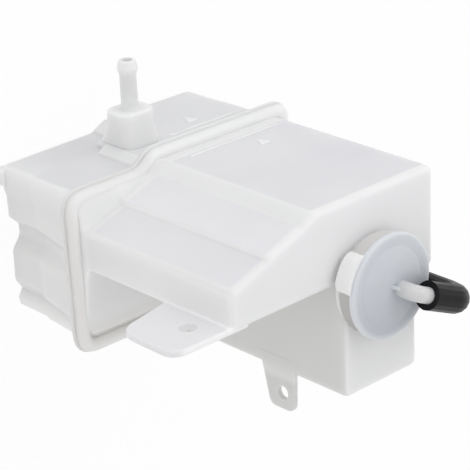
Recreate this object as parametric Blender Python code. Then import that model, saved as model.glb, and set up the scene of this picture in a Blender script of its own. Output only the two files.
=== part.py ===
# Coolant expansion tank with a push-on filler cap and a moulded rubber vent elbow.
# Metres, +Z up. The tank stands as it is fitted to the car, filler cap uppermost, on its flat base.
# The marked face looks along -Y, the fixing shelf stands out to +X.
# The origin is on the base, under the middle of the tank.

import math

import bmesh
import bpy
from mathutils import Matrix, Vector

# Driving heights, from the base up
TANK_HEIGHT = 0.160
WELD_HEIGHT = 0.0568
WELD_GAP = 0.0003
FLANGE_HALF = 0.0025

# Tank section: X is across the marked face, Y runs from the marked face (-) to the back (+)
SHELF_X = 0.064
CAP_SIDE_X = -0.0603
FACE_Y = -0.0393
BACK_Y = 0.056
WALL = 0.0025

# Upper body: a sloped shelf in front of a narrower tank, and a side recess for the vent elbow
SHELF_FRONT_Y = -0.0192
SHELF_FLOOR_Y = -0.0010
STEP_FOOT_X = 0.0216
STEP_FOOT_Y = -0.0351
STEP_TOP_X = 0.0140
CREASE_X = 0.0420
CREASE_RISE = 0.0012
CREASE_HALF = 0.0010
INNER_WALL_X = -0.0017
RECESS_DEPTH = 0.0115
RECESS_Y = 0.0095
RECESS_SLANT = 0.0015

# Mouth of both mouldings at the weld
DECK_Y = -0.0348
MOUTH_FLOOR_Y = 0.0350
MOUTH_FLOOR_X = 0.0120
MOUTH_BACK_X = 0.0020
MOUTH_STEP_FOOT_X = 0.0240
MOUTH_STEP_TOP_X = 0.0175
MOUTH_SIDE_TAPER = 0.0083

# Lower body: each corner at the mouth, where the front groove deepens, and at the base, then its cut
LOWER_STATIONS = [
    ((MOUTH_FLOOR_X, MOUTH_FLOOR_Y), (0.0110, 0.0355), (0.0100, 0.0360), 0.0060),
    ((MOUTH_BACK_X, BACK_Y), (0.0010, 0.0540), (0.0000, 0.0520), 0.0060),
    ((CAP_SIDE_X + MOUTH_SIDE_TAPER, BACK_Y), (-0.0500, 0.0540), (-0.0480, 0.0520), 0.0070),
    ((CAP_SIDE_X, FACE_Y), (-0.0600, -0.0393), (-0.0592, -0.0392), 0.0055),
    ((MOUTH_STEP_TOP_X, FACE_Y), (0.0172, -0.0393), (-0.0020, -0.0392), 0.0010),
    ((MOUTH_STEP_FOOT_X, DECK_Y), (0.0237, -0.0350), (0.0065, -0.0349), 0.0010),
    ((SHELF_X, DECK_Y), (0.0620, -0.0345), (0.0611, -0.0341), 0.0050),
    ((SHELF_X, -0.0130), (0.0612, -0.0190), (0.0601, -0.0215), 0.0010),
    ((SHELF_X, -0.0108), (0.0604, -0.0167), (0.0591, -0.0190), 0.0010),
    ((SHELF_X, -0.0070), (0.0602, -0.0080), (0.0589, -0.0080), 0.0012),
    ((SHELF_X - 0.0003, -0.0030), (0.0552, -0.0032), (0.0538, -0.0032), 0.0014),
    ((SHELF_X - 0.0003, 0.0030), (0.0551, 0.0030), (0.0536, 0.0030), 0.0020),
    ((SHELF_X, 0.0075), (0.0612, 0.0082), (0.0584, 0.0088), 0.0025),
    ((SHELF_X, 0.0265), (0.0612, 0.0252), (0.0586, 0.0245), 0.0020),
    ((SHELF_X - 0.0002, 0.0303), (0.0565, 0.0300), (0.0550, 0.0300), 0.0008),
    ((SHELF_X, 0.0325), (0.0592, 0.0335), (0.0576, 0.0338), 0.0008),
    ((SHELF_X, MOUTH_FLOOR_Y), (0.0592, 0.0368), (0.0570, 0.0375), 0.0006),
]
# How far down the lower body each stage of its section comes: stage, share of the height
LOWER_DROPS = [(0.0, 0.0), (0.3, 0.15), (0.7, 0.36), (1.0, 0.52), (1.5, 0.56), (1.85, 0.61), (2.0, 0.92)]
BASE_EDGE = 0.0030
HOLLOW_EDGE = 0.0010
CORNER_LIP_SPAN = (-0.0335, -0.0235)
CORNER_LIP_STAND = 0.0016
CORNER_LIP_EDGE = 0.0006
CORNER_LIP_RISE = 0.0045

# Weld flange
LIP_FRONT = 0.0037
LIP_FRONT_DECK = 0.0052
LIP_DECK = 0.0022
LIP_FACE = 0.0047
LIP_SIDE = 0.0092
LIP_BACK = 0.0030
LIP_FLOOR = 0.0080
RIM_WIDTH = 0.0068
RIM_HEIGHT = 0.0048
RIM_EDGE = 0.0008
RIM_GROOVE = 0.0004
SHOULDER_RISE = 0.0065

# Outlet nipple and the boss that carries it, on the marked face of the lower moulding
BOSS_X = 0.0092
BOSS_HEIGHT = 0.0355
BOSS_WIDTH_X = 0.0200
BOSS_WIDTH_Z = 0.0165
BOSS_STAND = 0.0167
BOSS_WALL = 0.0022
BOSS_FLARE = [(-0.0060, 0.0085), (-0.0030, 0.0070), (0.0000, 0.0048), (0.0040, 0.0024), (0.0085, 0.0007)]
BOSS_FLARE_LEFT = 0.35
BOSS_FLARE_RIGHT = -0.30
BOSS_FLARE_DOWN = 1.6
BOSS_FLARE_UP = 0.15
NIPPLE_RADIUS = 0.0041
NIPPLE_BARB = 0.0006
NIPPLE_LENGTH = 0.0235
NIPPLE_BORE = 0.0026

# Fixing tabs
TAB_THICKNESS = 0.0030
TAB_STEP = 0.0003
TAB_REACH = 0.0330
TAB_WIDTH = 0.0410
TAB_ROOT_SPREAD = 0.0045
TAB_HOLE_RADIUS = 0.0042
TAB_HOLE_OUT = 0.0120
TAB_HOLE_DOWN = 0.0150
BACK_TAB_REACH = 0.0193
BACK_TAB_LOW = 0.1067
BACK_TAB_HIGH = 0.1265
BACK_TAB_HOLE_OUT = 0.0106
BACK_TAB_HOLE_HEIGHT = 0.1194
BACK_TAB_HOLE_RADIUS = 0.0034

# Filler neck and cap
NECK_IN = 0.0411
NECK_X = CAP_SIDE_X + NECK_IN
NECK_Y = 0.0028
NECK_RADIUS = 0.0205
NECK_WALL = 0.0024
NECK_HEIGHT = 0.0074
NECK_BEAD = 0.0003
NECK_FLOOR = 0.0005
THROAT_STEP = 0.0008
THROAT_WALL = 0.0016
FIT_GAP = 0.0003
SEAL_THICKNESS = 0.0013
CAP_CLEARANCE = 0.0009
CAP_LIP = 0.0003
SKIRT_WALL = 0.0020
SKIRT_BOTTOM = 0.0028
DISC_RADIUS = 0.0246
DISC_THICKNESS = 0.0030
DISC_PANEL_RADIUS = 0.0175
DISC_PANEL_DEPTH = 0.0004
PLUG_WALL = 0.0016
PLUG_LENGTH = 0.0075
PULL_LUG_RADIUS = 0.0274
PULL_LUG_ANGLE = -30.0
PULL_LUG_SPREAD = 50.0

# Vent stub of the cap, and the rubber elbow pushed onto it
VENT_ANGLE = 155.7
STUB_RADIUS = 0.0038
STUB_BORE = 0.0021
STUB_OFFSET = 0.0055
STUB_RISE = 0.0092
STUB_BEND = 0.0050
STUB_TIP = 0.0250
GUSSET_THICKNESS = 0.0016
ELBOW_RADIUS = 0.00675
ELBOW_START = 0.0137
ELBOW_REACH = 0.0406
ELBOW_BEND = 0.0105
ELBOW_DROP = 0.0440

# Facets
CORNER_STEPS = 4
ROUND_STEPS = 4
TURN_STEPS = 64
SMALL_TURN_STEPS = 32
SHARP_ANGLE = 24

PLASTIC = "natural_polypropylene"
CAP_PLASTIC = "cap_polyethylene"
RUBBER = "black_rubber"


def clear_scene():
    for item in list(bpy.data.objects):
        bpy.data.objects.remove(item, do_unlink=True)


def new_collection(name):
    made = bpy.data.collections.new(name)
    bpy.context.scene.collection.children.link(made)
    return made


def make_material(name, colour, roughness):
    material = bpy.data.materials.new(name)
    material.use_nodes = True
    shader = material.node_tree.nodes["Principled BSDF"]
    shader.inputs["Base Color"].default_value = (*colour, 1.0)
    shader.inputs["Roughness"].default_value = roughness
    shader.inputs["Metallic"].default_value = 0.0
    return material


# Outlines

def inset_corners(corners, distance):
    """Moves each side of a closed outline inwards by the distance; corners run anticlockwise."""
    moved = []
    for index, point in enumerate(corners):
        before = (point - corners[index - 1]).normalized()
        after = (corners[(index + 1) % len(corners)] - point).normalized()
        normal_before = Vector((-before.y, before.x))
        normal_after = Vector((-after.y, after.x))
        share = distance / (1.0 + normal_before.dot(normal_after))
        moved.append(point + (normal_before + normal_after) * share)
    return moved


def rounded(corners, cuts, steps=CORNER_STEPS):
    """Rounds each corner with a quadratic curve that starts one cut away from it on both sides."""
    points = []
    for index, corner in enumerate(corners):
        before = corners[index - 1] - corner
        after = corners[(index + 1) % len(corners)] - corner
        cut = min(cuts[index], 0.45 * before.length, 0.45 * after.length)
        start = corner + before.normalized() * cut
        end = corner + after.normalized() * cut
        for step in range(steps + 1):
            t = step / steps
            points.append(start * (1 - t) ** 2 + corner * 2 * t * (1 - t) + end * t ** 2)
    return points


def inner_cuts(corners, cuts, wall):
    """Corner cuts of the inside of a wall: smaller on outer corners, larger on re-entrant ones."""
    changed = []
    for index, corner in enumerate(corners):
        before = corner - corners[index - 1]
        after = corners[(index + 1) % len(corners)] - corner
        outer_corner = before.cross(after) > 0
        changed.append(max(cuts[index] - wall, WALL / 5) if outer_corner else cuts[index] + wall)
    return changed


def at_height(outline, height):
    return [Vector((point.x, point.y, height)) for point in outline]


# Solids

def object_from_bmesh(name, mesh_data):
    bmesh.ops.recalc_face_normals(mesh_data, faces=mesh_data.faces)
    mesh = bpy.data.meshes.new(name)
    mesh_data.to_mesh(mesh)
    mesh_data.free()
    made = bpy.data.objects.new(name, mesh)
    cutters.objects.link(made)
    return made


def loft(name, rings):
    """A closed solid through rings of equally many points, with a flat face at each end."""
    shape = bmesh.new()
    loops = [[shape.verts.new(point) for point in ring] for ring in rings]
    for low, high in zip(loops, loops[1:]):
        for index in range(len(low)):
            following = (index + 1) % len(low)
            shape.faces.new((low[index], low[following], high[following], high[index]))
    shape.faces.new(loops[0])
    shape.faces.new(loops[-1])
    return object_from_bmesh(name, shape)


def turned(name, profile, steps, centre, tilt=0.0):
    """Turns a profile of (radius, height) points about Z; it ends on the axis or runs back to its start."""
    shape = bmesh.new()
    points = [shape.verts.new((radius, 0.0, height)) for radius, height in profile]
    first = 1 if profile[0][0] == 0.0 else 0
    edges = [shape.edges.new((points[index - 1], points[index])) for index in range(first, len(points))]
    bmesh.ops.spin(
        shape, geom=points + edges, cent=(0, 0, 0), axis=(0, 0, 1),
        angle=2 * math.pi, steps=steps, use_merge=True, use_duplicate=False)
    bmesh.ops.remove_doubles(shape, verts=shape.verts, dist=1e-6)
    bmesh.ops.dissolve_degenerate(shape, dist=1e-7, edges=shape.edges)
    made = object_from_bmesh(name, shape)
    made.data.transform(Matrix.Translation(centre) @ Matrix.Rotation(tilt, 4, "X"))
    return made


def cylinder(name, radius, start, end, steps=SMALL_TURN_STEPS):
    """A plain round bar from start to end."""
    start = Vector(start)
    along = Vector(end) - start
    shape = bmesh.new()
    bmesh.ops.create_cone(
        shape, cap_ends=True, segments=steps, radius1=radius, radius2=radius, depth=along.length)
    made = object_from_bmesh(name, shape)
    turn = along.to_track_quat("Z", "Y").to_matrix().to_4x4()
    made.data.transform(Matrix.Translation(start + along / 2) @ turn)
    return made


def pipe(name, route, radius, resolution=6):
    """A round bar along a route of points, from a curve with a bevel depth and filled caps."""
    curve = bpy.data.curves.new(name, "CURVE")
    curve.dimensions = "3D"
    curve.bevel_depth = radius
    curve.bevel_resolution = resolution
    curve.use_fill_caps = True
    spline = curve.splines.new("POLY")
    spline.points.add(len(route) - 1)
    for target, point in zip(spline.points, route):
        target.co = (*point, 1.0)
    source = bpy.data.objects.new(name + "_route", curve)
    return mesh_from_curve(name, source)


def plate(name, outline, thickness, edge_round, place):
    """A flat plate from a filled 2D curve, its middle plane at the place's XY plane."""
    curve = bpy.data.curves.new(name, "CURVE")
    curve.dimensions = "2D"
    curve.fill_mode = "BOTH"
    curve.extrude = thickness / 2 - edge_round
    curve.bevel_depth = edge_round
    curve.bevel_resolution = 1
    curve.offset = -edge_round
    spline = curve.splines.new("POLY")
    spline.points.add(len(outline) - 1)
    for target, point in zip(spline.points, outline):
        target.co = (point.x, point.y, 0.0, 1.0)
    spline.use_cyclic_u = True
    source = bpy.data.objects.new(name + "_outline", curve)
    made = mesh_from_curve(name, source)
    made.data.transform(place)
    return made


def mesh_from_curve(name, source):
    """Replaces a curve object with a welded mesh of it."""
    cutters.objects.link(source)
    graph = bpy.context.evaluated_depsgraph_get()
    mesh = bpy.data.meshes.new_from_object(source.evaluated_get(graph))
    bpy.data.objects.remove(source, do_unlink=True)
    shape = bmesh.new()
    shape.from_mesh(mesh)
    bmesh.ops.remove_doubles(shape, verts=shape.verts, dist=1e-6)
    bpy.data.meshes.remove(mesh)
    return object_from_bmesh(name, shape)


def combine(target, tool, operation):
    """Joins the tool to the target, or cuts it away, and removes the tool."""
    modifier = target.modifiers.new(tool.name, "BOOLEAN")
    modifier.operation = operation
    modifier.solver = "EXACT"
    modifier.object = tool
    graph = bpy.context.evaluated_depsgraph_get()
    mesh = bpy.data.meshes.new_from_object(target.evaluated_get(graph))
    target.modifiers.clear()
    target.data = mesh
    bpy.data.objects.remove(tool, do_unlink=True)


def join(target, *tools):
    for tool in tools:
        combine(target, tool, "UNION")


def cut(target, *tools):
    for tool in tools:
        combine(target, tool, "DIFFERENCE")


def finish(target, name, material):
    """Names a piece, gives it its material and puts it among the tank's parts."""
    target.name = name
    target.data.name = name
    target.data.materials.clear()
    target.data.materials.append(material)
    target.data.shade_smooth()
    target.data.set_sharp_from_angle(angle=math.radians(SHARP_ANGLE))
    cutters.objects.unlink(target)
    tank.objects.link(target)
    return target


# Tank sections, anticlockwise seen from above

def upper_section(crease):
    """Corners and corner cuts of the upper body, with a crease of this height across the deck."""
    slope = (STEP_FOOT_Y - SHELF_FRONT_Y) / (SHELF_X - STEP_FOOT_X)
    before = SHELF_FRONT_Y + slope * (SHELF_X - CREASE_X + CREASE_HALF)
    after = SHELF_FRONT_Y + slope * (SHELF_X - CREASE_X - CREASE_HALF)
    recess_x = CAP_SIDE_X + RECESS_DEPTH
    rows = [
        (INNER_WALL_X, SHELF_FLOOR_Y, 0.0040),
        (INNER_WALL_X, BACK_Y, 0.0040),
        (recess_x, BACK_Y, 0.0040),
        (recess_x, RECESS_Y + RECESS_SLANT, 0.0030),
        (CAP_SIDE_X, RECESS_Y, 0.0040),
        (CAP_SIDE_X, FACE_Y, 0.0045),
        (STEP_TOP_X, FACE_Y, 0.0008),
        (STEP_FOOT_X, STEP_FOOT_Y, 0.0008),
        (CREASE_X - CREASE_HALF, before - crease / 2, 0.0004),
        (CREASE_X + CREASE_HALF, after + crease / 2, 0.0004),
        (SHELF_X, SHELF_FRONT_Y, 0.0040),
        (SHELF_X, SHELF_FLOOR_Y, WALL - TAB_STEP),
    ]
    return [Vector(row[:2]) for row in rows], [row[2] for row in rows]


def mouth_section():
    """Corners of the mouth, one for each corner of the upper body, in the same order."""
    rows = [
        (MOUTH_FLOOR_X, MOUTH_FLOOR_Y, 0.0060),
        (MOUTH_BACK_X, BACK_Y, 0.0060),
        (CAP_SIDE_X + MOUTH_SIDE_TAPER, BACK_Y, 0.0070),
        (CAP_SIDE_X + MOUTH_SIDE_TAPER / 3, RECESS_Y + RECESS_DEPTH, 0.0030),
        (CAP_SIDE_X, RECESS_Y, 0.0030),
        (CAP_SIDE_X, FACE_Y, 0.0055),
        (MOUTH_STEP_TOP_X, FACE_Y, 0.0012),
        (MOUTH_STEP_FOOT_X, DECK_Y, 0.0012),
        (CREASE_X - CREASE_HALF, DECK_Y, 0.0005),
        (CREASE_X + CREASE_HALF, DECK_Y, 0.0005),
        (SHELF_X, DECK_Y, 0.0070),
        (SHELF_X, MOUTH_FLOOR_Y, 0.0080),
    ]
    return [Vector(row[:2]) for row in rows], [row[2] for row in rows]


def lower_section(drop):
    """Corners of the lower body. The drop runs from 0 at the mouth over 1 at the groove ends to 2 at the base."""
    corners = []
    for mouth, middle, base, _ in LOWER_STATIONS:
        low, high = (mouth, middle) if drop <= 1 else (middle, base)
        share = drop if drop <= 1 else drop - 1
        corners.append(Vector(low).lerp(Vector(high), share))
    return corners, [row[3] for row in LOWER_STATIONS]


def flange_outline(inset=0.0):
    corners = [
        Vector((SHELF_X + LIP_FRONT, MOUTH_FLOOR_Y + LIP_FLOOR)),
        Vector((MOUTH_FLOOR_X + LIP_BACK, MOUTH_FLOOR_Y + LIP_FLOOR)),
        Vector((MOUTH_BACK_X + LIP_BACK, BACK_Y + LIP_BACK)),
        Vector((CAP_SIDE_X + MOUTH_SIDE_TAPER - LIP_SIDE, BACK_Y + LIP_BACK)),
        Vector((CAP_SIDE_X - LIP_SIDE, FACE_Y - LIP_FACE)),
        Vector((MOUTH_STEP_TOP_X + LIP_FACE / 4, FACE_Y - LIP_FACE)),
        Vector((MOUTH_STEP_FOOT_X + LIP_FACE / 2, DECK_Y - LIP_DECK)),
        Vector((SHELF_X + LIP_FRONT_DECK, DECK_Y - LIP_DECK)),
    ]
    cuts = [0.0110, 0.0060, 0.0060, 0.0110, 0.0100, 0.0050, 0.0060, 0.0110]
    return rounded(inset_corners(corners, inset), inner_cuts(corners, cuts, inset))


def lower_flange(name, split):
    """Lower half of the weld flange, rounded on its free edge."""
    edge = FLANGE_HALF * 0.75
    rings = [at_height(flange_outline(), split)]
    for step in range(ROUND_STEPS + 1):
        angle = math.pi / 2 * step / ROUND_STEPS
        height = split - FLANGE_HALF + edge * (1 - math.sin(angle))
        rings.append(at_height(flange_outline(edge * (1 - math.cos(angle))), height))
    return loft(name, rings)


def upper_flange(name, split):
    """Upper half of the weld flange: a rounded rim, and a shallow groove between it and the body."""
    outer_foot = RIM_EDGE
    inner_foot = FLANGE_HALF - RIM_GROOVE
    rings = [at_height(flange_outline(), split)]
    for step in range(2 * ROUND_STEPS + 1):
        angle = math.pi / 2 * step / ROUND_STEPS
        foot = outer_foot if step <= ROUND_STEPS else inner_foot
        height = split + foot + (RIM_HEIGHT - foot) * math.sin(angle)
        rings.append(at_height(flange_outline(RIM_WIDTH / 2 * (1 - math.cos(angle))), height))
    return loft(name, rings)


# Shoulder between the mouth and the upper body: share of the way across, share of the rise
SHOULDER = [(0.0, 0.0), (0.06, 0.30), (0.30, 0.44), (0.62, 0.58), (0.84, 0.72), (0.96, 0.87), (1.0, 1.0)]


def upper_rings(inset, mouth_height, top_height, edge):
    """Rings of the upper body from its mouth to its top, moved in by the inset."""
    mouth, mouth_cuts = mouth_section()
    body, body_cuts = upper_section(0.0 if inset > 0 else CREASE_RISE)
    shoulder = WELD_HEIGHT + WELD_GAP + FLANGE_HALF - inset
    rings = []
    if mouth_height < shoulder:
        rings.append(blended_ring(mouth, body, mouth_cuts, body_cuts, 0.0, inset, mouth_height))
    for share, rise in SHOULDER:
        height = shoulder + SHOULDER_RISE * rise
        rings.append(blended_ring(mouth, body, mouth_cuts, body_cuts, share, inset, height))
    for step in range(ROUND_STEPS + 1):
        angle = math.pi / 2 * step / ROUND_STEPS
        height = top_height - edge * (1 - math.sin(angle))
        pulled = inset + edge * (1 - math.cos(angle))
        rings.append(blended_ring(mouth, body, mouth_cuts, body_cuts, 1.0, pulled, height))
    return rings


def blended_ring(low, high, low_cuts, high_cuts, share, inset, height):
    corners = [a.lerp(b, share) for a, b in zip(low, high)]
    cuts = [a + (b - a) * share for a, b in zip(low_cuts, high_cuts)]
    if inset > 0:
        cuts = inner_cuts(corners, cuts, inset)
    return at_height(rounded(inset_corners(corners, inset), cuts), height)


def lower_rings(inset, mouth_height, base_height, edge):
    """Rings of the lower body from its mouth down to its base, moved in by the inset."""
    rings = []
    for drop, share in LOWER_DROPS:
        height = mouth_height + (base_height - mouth_height) * share
        rings.append(lower_ring(drop, inset, height, inset > 0))
    for step in range(ROUND_STEPS + 1):
        angle = math.pi / 2 * step / ROUND_STEPS
        height = base_height + edge * (1 - math.sin(angle))
        rings.append(lower_ring(2.0, inset + edge * (1 - math.cos(angle)), height, inset > 0))
    return rings


def lower_ring(drop, inset, height, hollow):
    corners, cuts = lower_section(drop)
    if hollow:
        # The inside has no rib beyond the last groove
        groove, _, floor = corners[-3:]
        corners = corners[:-2] + [Vector((groove.x, floor.y))]
        cuts = cuts[:-1]
    if inset > 0:
        cuts = inner_cuts(corners, cuts, inset)
    return at_height(rounded(inset_corners(corners, inset), cuts), height)


# Lower moulding

def boss_ring(across, along, height, spread=0.0):
    """One ring of the nipple boss at a height above the marked face, spread towards the deck and the base."""
    left = BOSS_X - across / 2 - spread * BOSS_FLARE_LEFT
    right = BOSS_X + across / 2 + spread * BOSS_FLARE_RIGHT
    low = BOSS_HEIGHT - along / 2 - spread * BOSS_FLARE_DOWN
    high = BOSS_HEIGHT + along / 2 + spread * BOSS_FLARE_UP
    corners = [
        Vector((left, low)),
        Vector((right, low)),
        Vector((right, high)),
        Vector((left, high)),
    ]
    outline = rounded(corners, [0.42 * min(across, along)] * 4)
    return [Vector((point.x, FACE_Y - height, point.y)) for point in outline]


def boss_solid(name, inset, top):
    """The boss, with a flared foot that sweeps down into the deck."""
    rings = []
    for height, spread in BOSS_FLARE:
        rings.append(boss_ring(BOSS_WIDTH_X - 2 * inset, BOSS_WIDTH_Z - 2 * inset, height - inset, spread))
    rings.append(boss_ring(BOSS_WIDTH_X - 2 * inset, BOSS_WIDTH_Z - 2 * inset, top - inset - 0.0008))
    rings.append(boss_ring(BOSS_WIDTH_X - 2 * inset - 0.0010, BOSS_WIDTH_Z - 2 * inset - 0.0010, top - inset))
    return loft(name, rings)


def nipple(name):
    """Hose nipple on the boss, with a swollen tip that keeps the hose on."""
    foot = -BOSS_WALL / 2
    profile = [
        (0.0, foot),
        (NIPPLE_RADIUS + 0.0010, foot),
        (NIPPLE_RADIUS + 0.0010, 0.0),
        (NIPPLE_RADIUS, 0.0012),
        (NIPPLE_RADIUS - 0.0002, NIPPLE_LENGTH * 0.70),
        (NIPPLE_RADIUS + NIPPLE_BARB, NIPPLE_LENGTH * 0.80),
        (NIPPLE_RADIUS + NIPPLE_BARB, NIPPLE_LENGTH * 0.86),
        (NIPPLE_RADIUS, NIPPLE_LENGTH - 0.0005),
        (NIPPLE_RADIUS - 0.0005, NIPPLE_LENGTH),
        (0.0, NIPPLE_LENGTH),
    ]
    centre = Vector((BOSS_X, FACE_Y - BOSS_STAND, BOSS_HEIGHT))
    return turned(name, profile, SMALL_TURN_STEPS, centre, math.pi / 2)


def corner_lip(name):
    """Small lip at the foot of the front corner nearest the marked face, where the groove ends."""
    near, far = CORNER_LIP_SPAN
    _, _, base_corner, _ = LOWER_STATIONS[6]
    rings = []
    for height, stand in [(CORNER_LIP_EDGE, CORNER_LIP_STAND), (CORNER_LIP_RISE, CORNER_LIP_STAND / 2)]:
        tip = base_corner[0] + stand
        root = base_corner[0] - WALL
        rings.append(at_height([
            Vector((root, near)), Vector((tip, near + CORNER_LIP_STAND)),
            Vector((tip, far - CORNER_LIP_STAND)), Vector((root, far))], height))
    return loft(name, rings)


def make_lower_shell():
    mouth = WELD_HEIGHT - WELD_GAP
    body = loft("lower_body", lower_rings(0.0, mouth - FLANGE_HALF / 3, 0.0, BASE_EDGE))
    join(
        body,
        lower_flange("lower_flange", mouth),
        boss_solid("boss", 0.0, BOSS_STAND),
        nipple("nipple"),
        corner_lip("corner_lip"))
    hollow = lower_rings(WALL, mouth + WALL, WALL, HOLLOW_EDGE)
    cut(
        body,
        loft("lower_hollow", hollow),
        boss_solid("boss_hollow", BOSS_WALL, BOSS_STAND),
        cylinder(
            "nipple_bore", NIPPLE_BORE,
            (BOSS_X, FACE_Y - BOSS_STAND + 2 * BOSS_WALL, BOSS_HEIGHT),
            (BOSS_X, FACE_Y - BOSS_STAND - NIPPLE_LENGTH - WALL, BOSS_HEIGHT)))
    return finish(body, "lower_shell", materials[PLASTIC])


# Upper moulding

def front_tab(name):
    """Fixing tab in the plane of the shelf's floor; the outline is drawn in X and Z."""
    top = TANK_HEIGHT - 0.0006
    low = top - TAB_WIDTH
    tip = SHELF_X + TAB_REACH
    corners = [
        Vector((SHELF_X - 4 * WALL, low - TAB_ROOT_SPREAD)),
        Vector((SHELF_X - 0.0010, low - TAB_ROOT_SPREAD)),
        Vector((SHELF_X + 0.0020, low + 0.0006)),
        Vector((tip - 0.0005, low + 0.0070)),
        Vector((tip, top)),
        Vector((SHELF_X + 0.0020, top)),
        Vector((SHELF_X - 4 * WALL, top)),
    ]
    cuts = [0.0020, 0.0030, 0.0030, 0.0085, 0.0085, 0.0040, 0.0020]
    tab_y = SHELF_FLOOR_Y - WALL + TAB_THICKNESS / 2
    place = Matrix.Translation((0, tab_y, 0)) @ Matrix.Rotation(math.pi / 2, 4, "X")
    tab = plate(name, rounded(corners, cuts), TAB_THICKNESS, 0.0008, place)
    hole_x = SHELF_X + TAB_HOLE_OUT
    hole_z = TANK_HEIGHT - TAB_HOLE_DOWN
    reach = 2 * TAB_THICKNESS
    cut(tab, cylinder(
        "front_tab_hole", TAB_HOLE_RADIUS, (hole_x, tab_y - reach, hole_z), (hole_x, tab_y + reach, hole_z)))
    return tab


def back_tab(name):
    """Fixing tab that carries the inner wall on past the back; the outline is drawn in Y and Z."""
    tip = BACK_Y + BACK_TAB_REACH
    root = BACK_Y - 3 * WALL
    corners = [
        Vector((root, BACK_TAB_LOW - 0.0020)),
        Vector((tip, BACK_TAB_LOW + 0.0042)),
        Vector((tip, BACK_TAB_HIGH)),
        Vector((root, BACK_TAB_HIGH + 0.0010)),
    ]
    turn = Matrix(((0, 0, 1, 0), (1, 0, 0, 0), (0, 1, 0, 0), (0, 0, 0, 1)))
    tab_x = INNER_WALL_X - WALL / 2 + 0.0002
    place = Matrix.Translation((tab_x, 0, 0)) @ turn
    tab = plate(name, rounded(corners, [0.0020, 0.0035, 0.0050, 0.0020]), WALL, 0.0005, place)
    hole_y = BACK_Y + BACK_TAB_HOLE_OUT
    cut(tab, cylinder(
        "back_tab_hole", BACK_TAB_HOLE_RADIUS,
        (tab_x - 2 * WALL, hole_y, BACK_TAB_HOLE_HEIGHT), (tab_x + 2 * WALL, hole_y, BACK_TAB_HOLE_HEIGHT)))
    return tab


def throat_radius():
    """Radius of the hole below the neck, which leaves the wall beside it whole where the neck overhangs it."""
    return min(NECK_RADIUS - NECK_WALL - THROAT_STEP, INNER_WALL_X - THROAT_WALL - NECK_X)


def neck_bore(name):
    """The neck's bore, stepped in to the narrower throat through the tank's top."""
    bore = NECK_RADIUS - NECK_WALL
    profile = [
        (0.0, -2 * WALL),
        (throat_radius(), -2 * WALL),
        (throat_radius(), NECK_FLOOR),
        (bore, NECK_FLOOR),
        (bore, NECK_HEIGHT + WALL),
        (0.0, NECK_HEIGHT + WALL),
    ]
    return turned(name, profile, TURN_STEPS, Vector((NECK_X, NECK_Y, TANK_HEIGHT)))


def filler_neck(name):
    """Short neck round the filler hole, with a low bead that the cap snaps over."""
    profile = [
        (0.0, -WALL / 2),
        (NECK_RADIUS + 0.0010, -WALL / 2),
        (NECK_RADIUS + 0.0010, 0.0),
        (NECK_RADIUS, 0.0012),
        (NECK_RADIUS, 0.0042),
        (NECK_RADIUS + NECK_BEAD, 0.0050),
        (NECK_RADIUS, 0.0058),
        (NECK_RADIUS, NECK_HEIGHT - 0.0005),
        (NECK_RADIUS - 0.0005, NECK_HEIGHT),
        (0.0, NECK_HEIGHT),
    ]
    return turned(name, profile, TURN_STEPS, Vector((NECK_X, NECK_Y, TANK_HEIGHT)))


def make_upper_shell():
    mouth = WELD_HEIGHT + WELD_GAP
    body = loft("upper_body", upper_rings(0.0, mouth + FLANGE_HALF / 3, TANK_HEIGHT, 0.0032))
    join(
        body,
        back_tab("back_tab"),
        front_tab("front_tab"),
        filler_neck("filler_neck"),
        upper_flange("upper_flange", mouth))
    hollow = upper_rings(WALL, mouth - WALL, TANK_HEIGHT - WALL, 0.0010)
    cut(
        body,
        loft("upper_hollow", hollow),
        neck_bore("neck_bore"))
    return finish(body, "upper_shell", materials[PLASTIC])


# Filler cap, seal and vent elbow

def disc_underside():
    return TANK_HEIGHT + NECK_HEIGHT + FIT_GAP + SEAL_THICKNESS + FIT_GAP


def disc_top():
    return disc_underside() + DISC_THICKNESS


def cap_axis(height):
    return Vector((NECK_X, NECK_Y, height))


def vent_direction():
    angle = math.radians(VENT_ANGLE)
    return Vector((math.cos(angle), math.sin(angle), 0.0))


def cap_body(name):
    """Disc with a shallow raised panel, an outer skirt over the neck and a plug inside it."""
    under = disc_underside()
    top = disc_top()
    skirt_in = NECK_RADIUS + CAP_CLEARANCE
    skirt_out = skirt_in + SKIRT_WALL
    plug_out = NECK_RADIUS - NECK_WALL - FIT_GAP
    plug_in = plug_out - PLUG_WALL
    skirt_low = TANK_HEIGHT + SKIRT_BOTTOM
    plug_low = max(under - PLUG_LENGTH, TANK_HEIGHT + NECK_FLOOR + FIT_GAP)
    rim = DISC_THICKNESS * 0.32
    profile = [
        (0.0, under),
        (plug_in, under),
        (plug_in, plug_low),
        (plug_out - 0.0004, plug_low),
        (plug_out, plug_low + 0.0008),
        (plug_out, under),
        (skirt_in, under),
        (skirt_in, skirt_low + 0.0014),
        (skirt_in - CAP_LIP, skirt_low + 0.0008),
        (skirt_in, skirt_low),
        (skirt_out, skirt_low),
        (skirt_out, under),
        (DISC_RADIUS - rim, under),
        (DISC_RADIUS - 0.3 * rim, under + 0.3 * rim),
        (DISC_RADIUS, under + rim),
        (DISC_RADIUS, top - rim),
        (DISC_RADIUS - 0.3 * rim, top - 0.3 * rim),
        (DISC_RADIUS - rim, top),
        (DISC_PANEL_RADIUS + 0.0012, top - DISC_PANEL_DEPTH),
        (DISC_PANEL_RADIUS, top),
        (0.0, top),
    ]
    return turned(name, profile, TURN_STEPS, Vector((NECK_X, NECK_Y, 0.0)))


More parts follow.
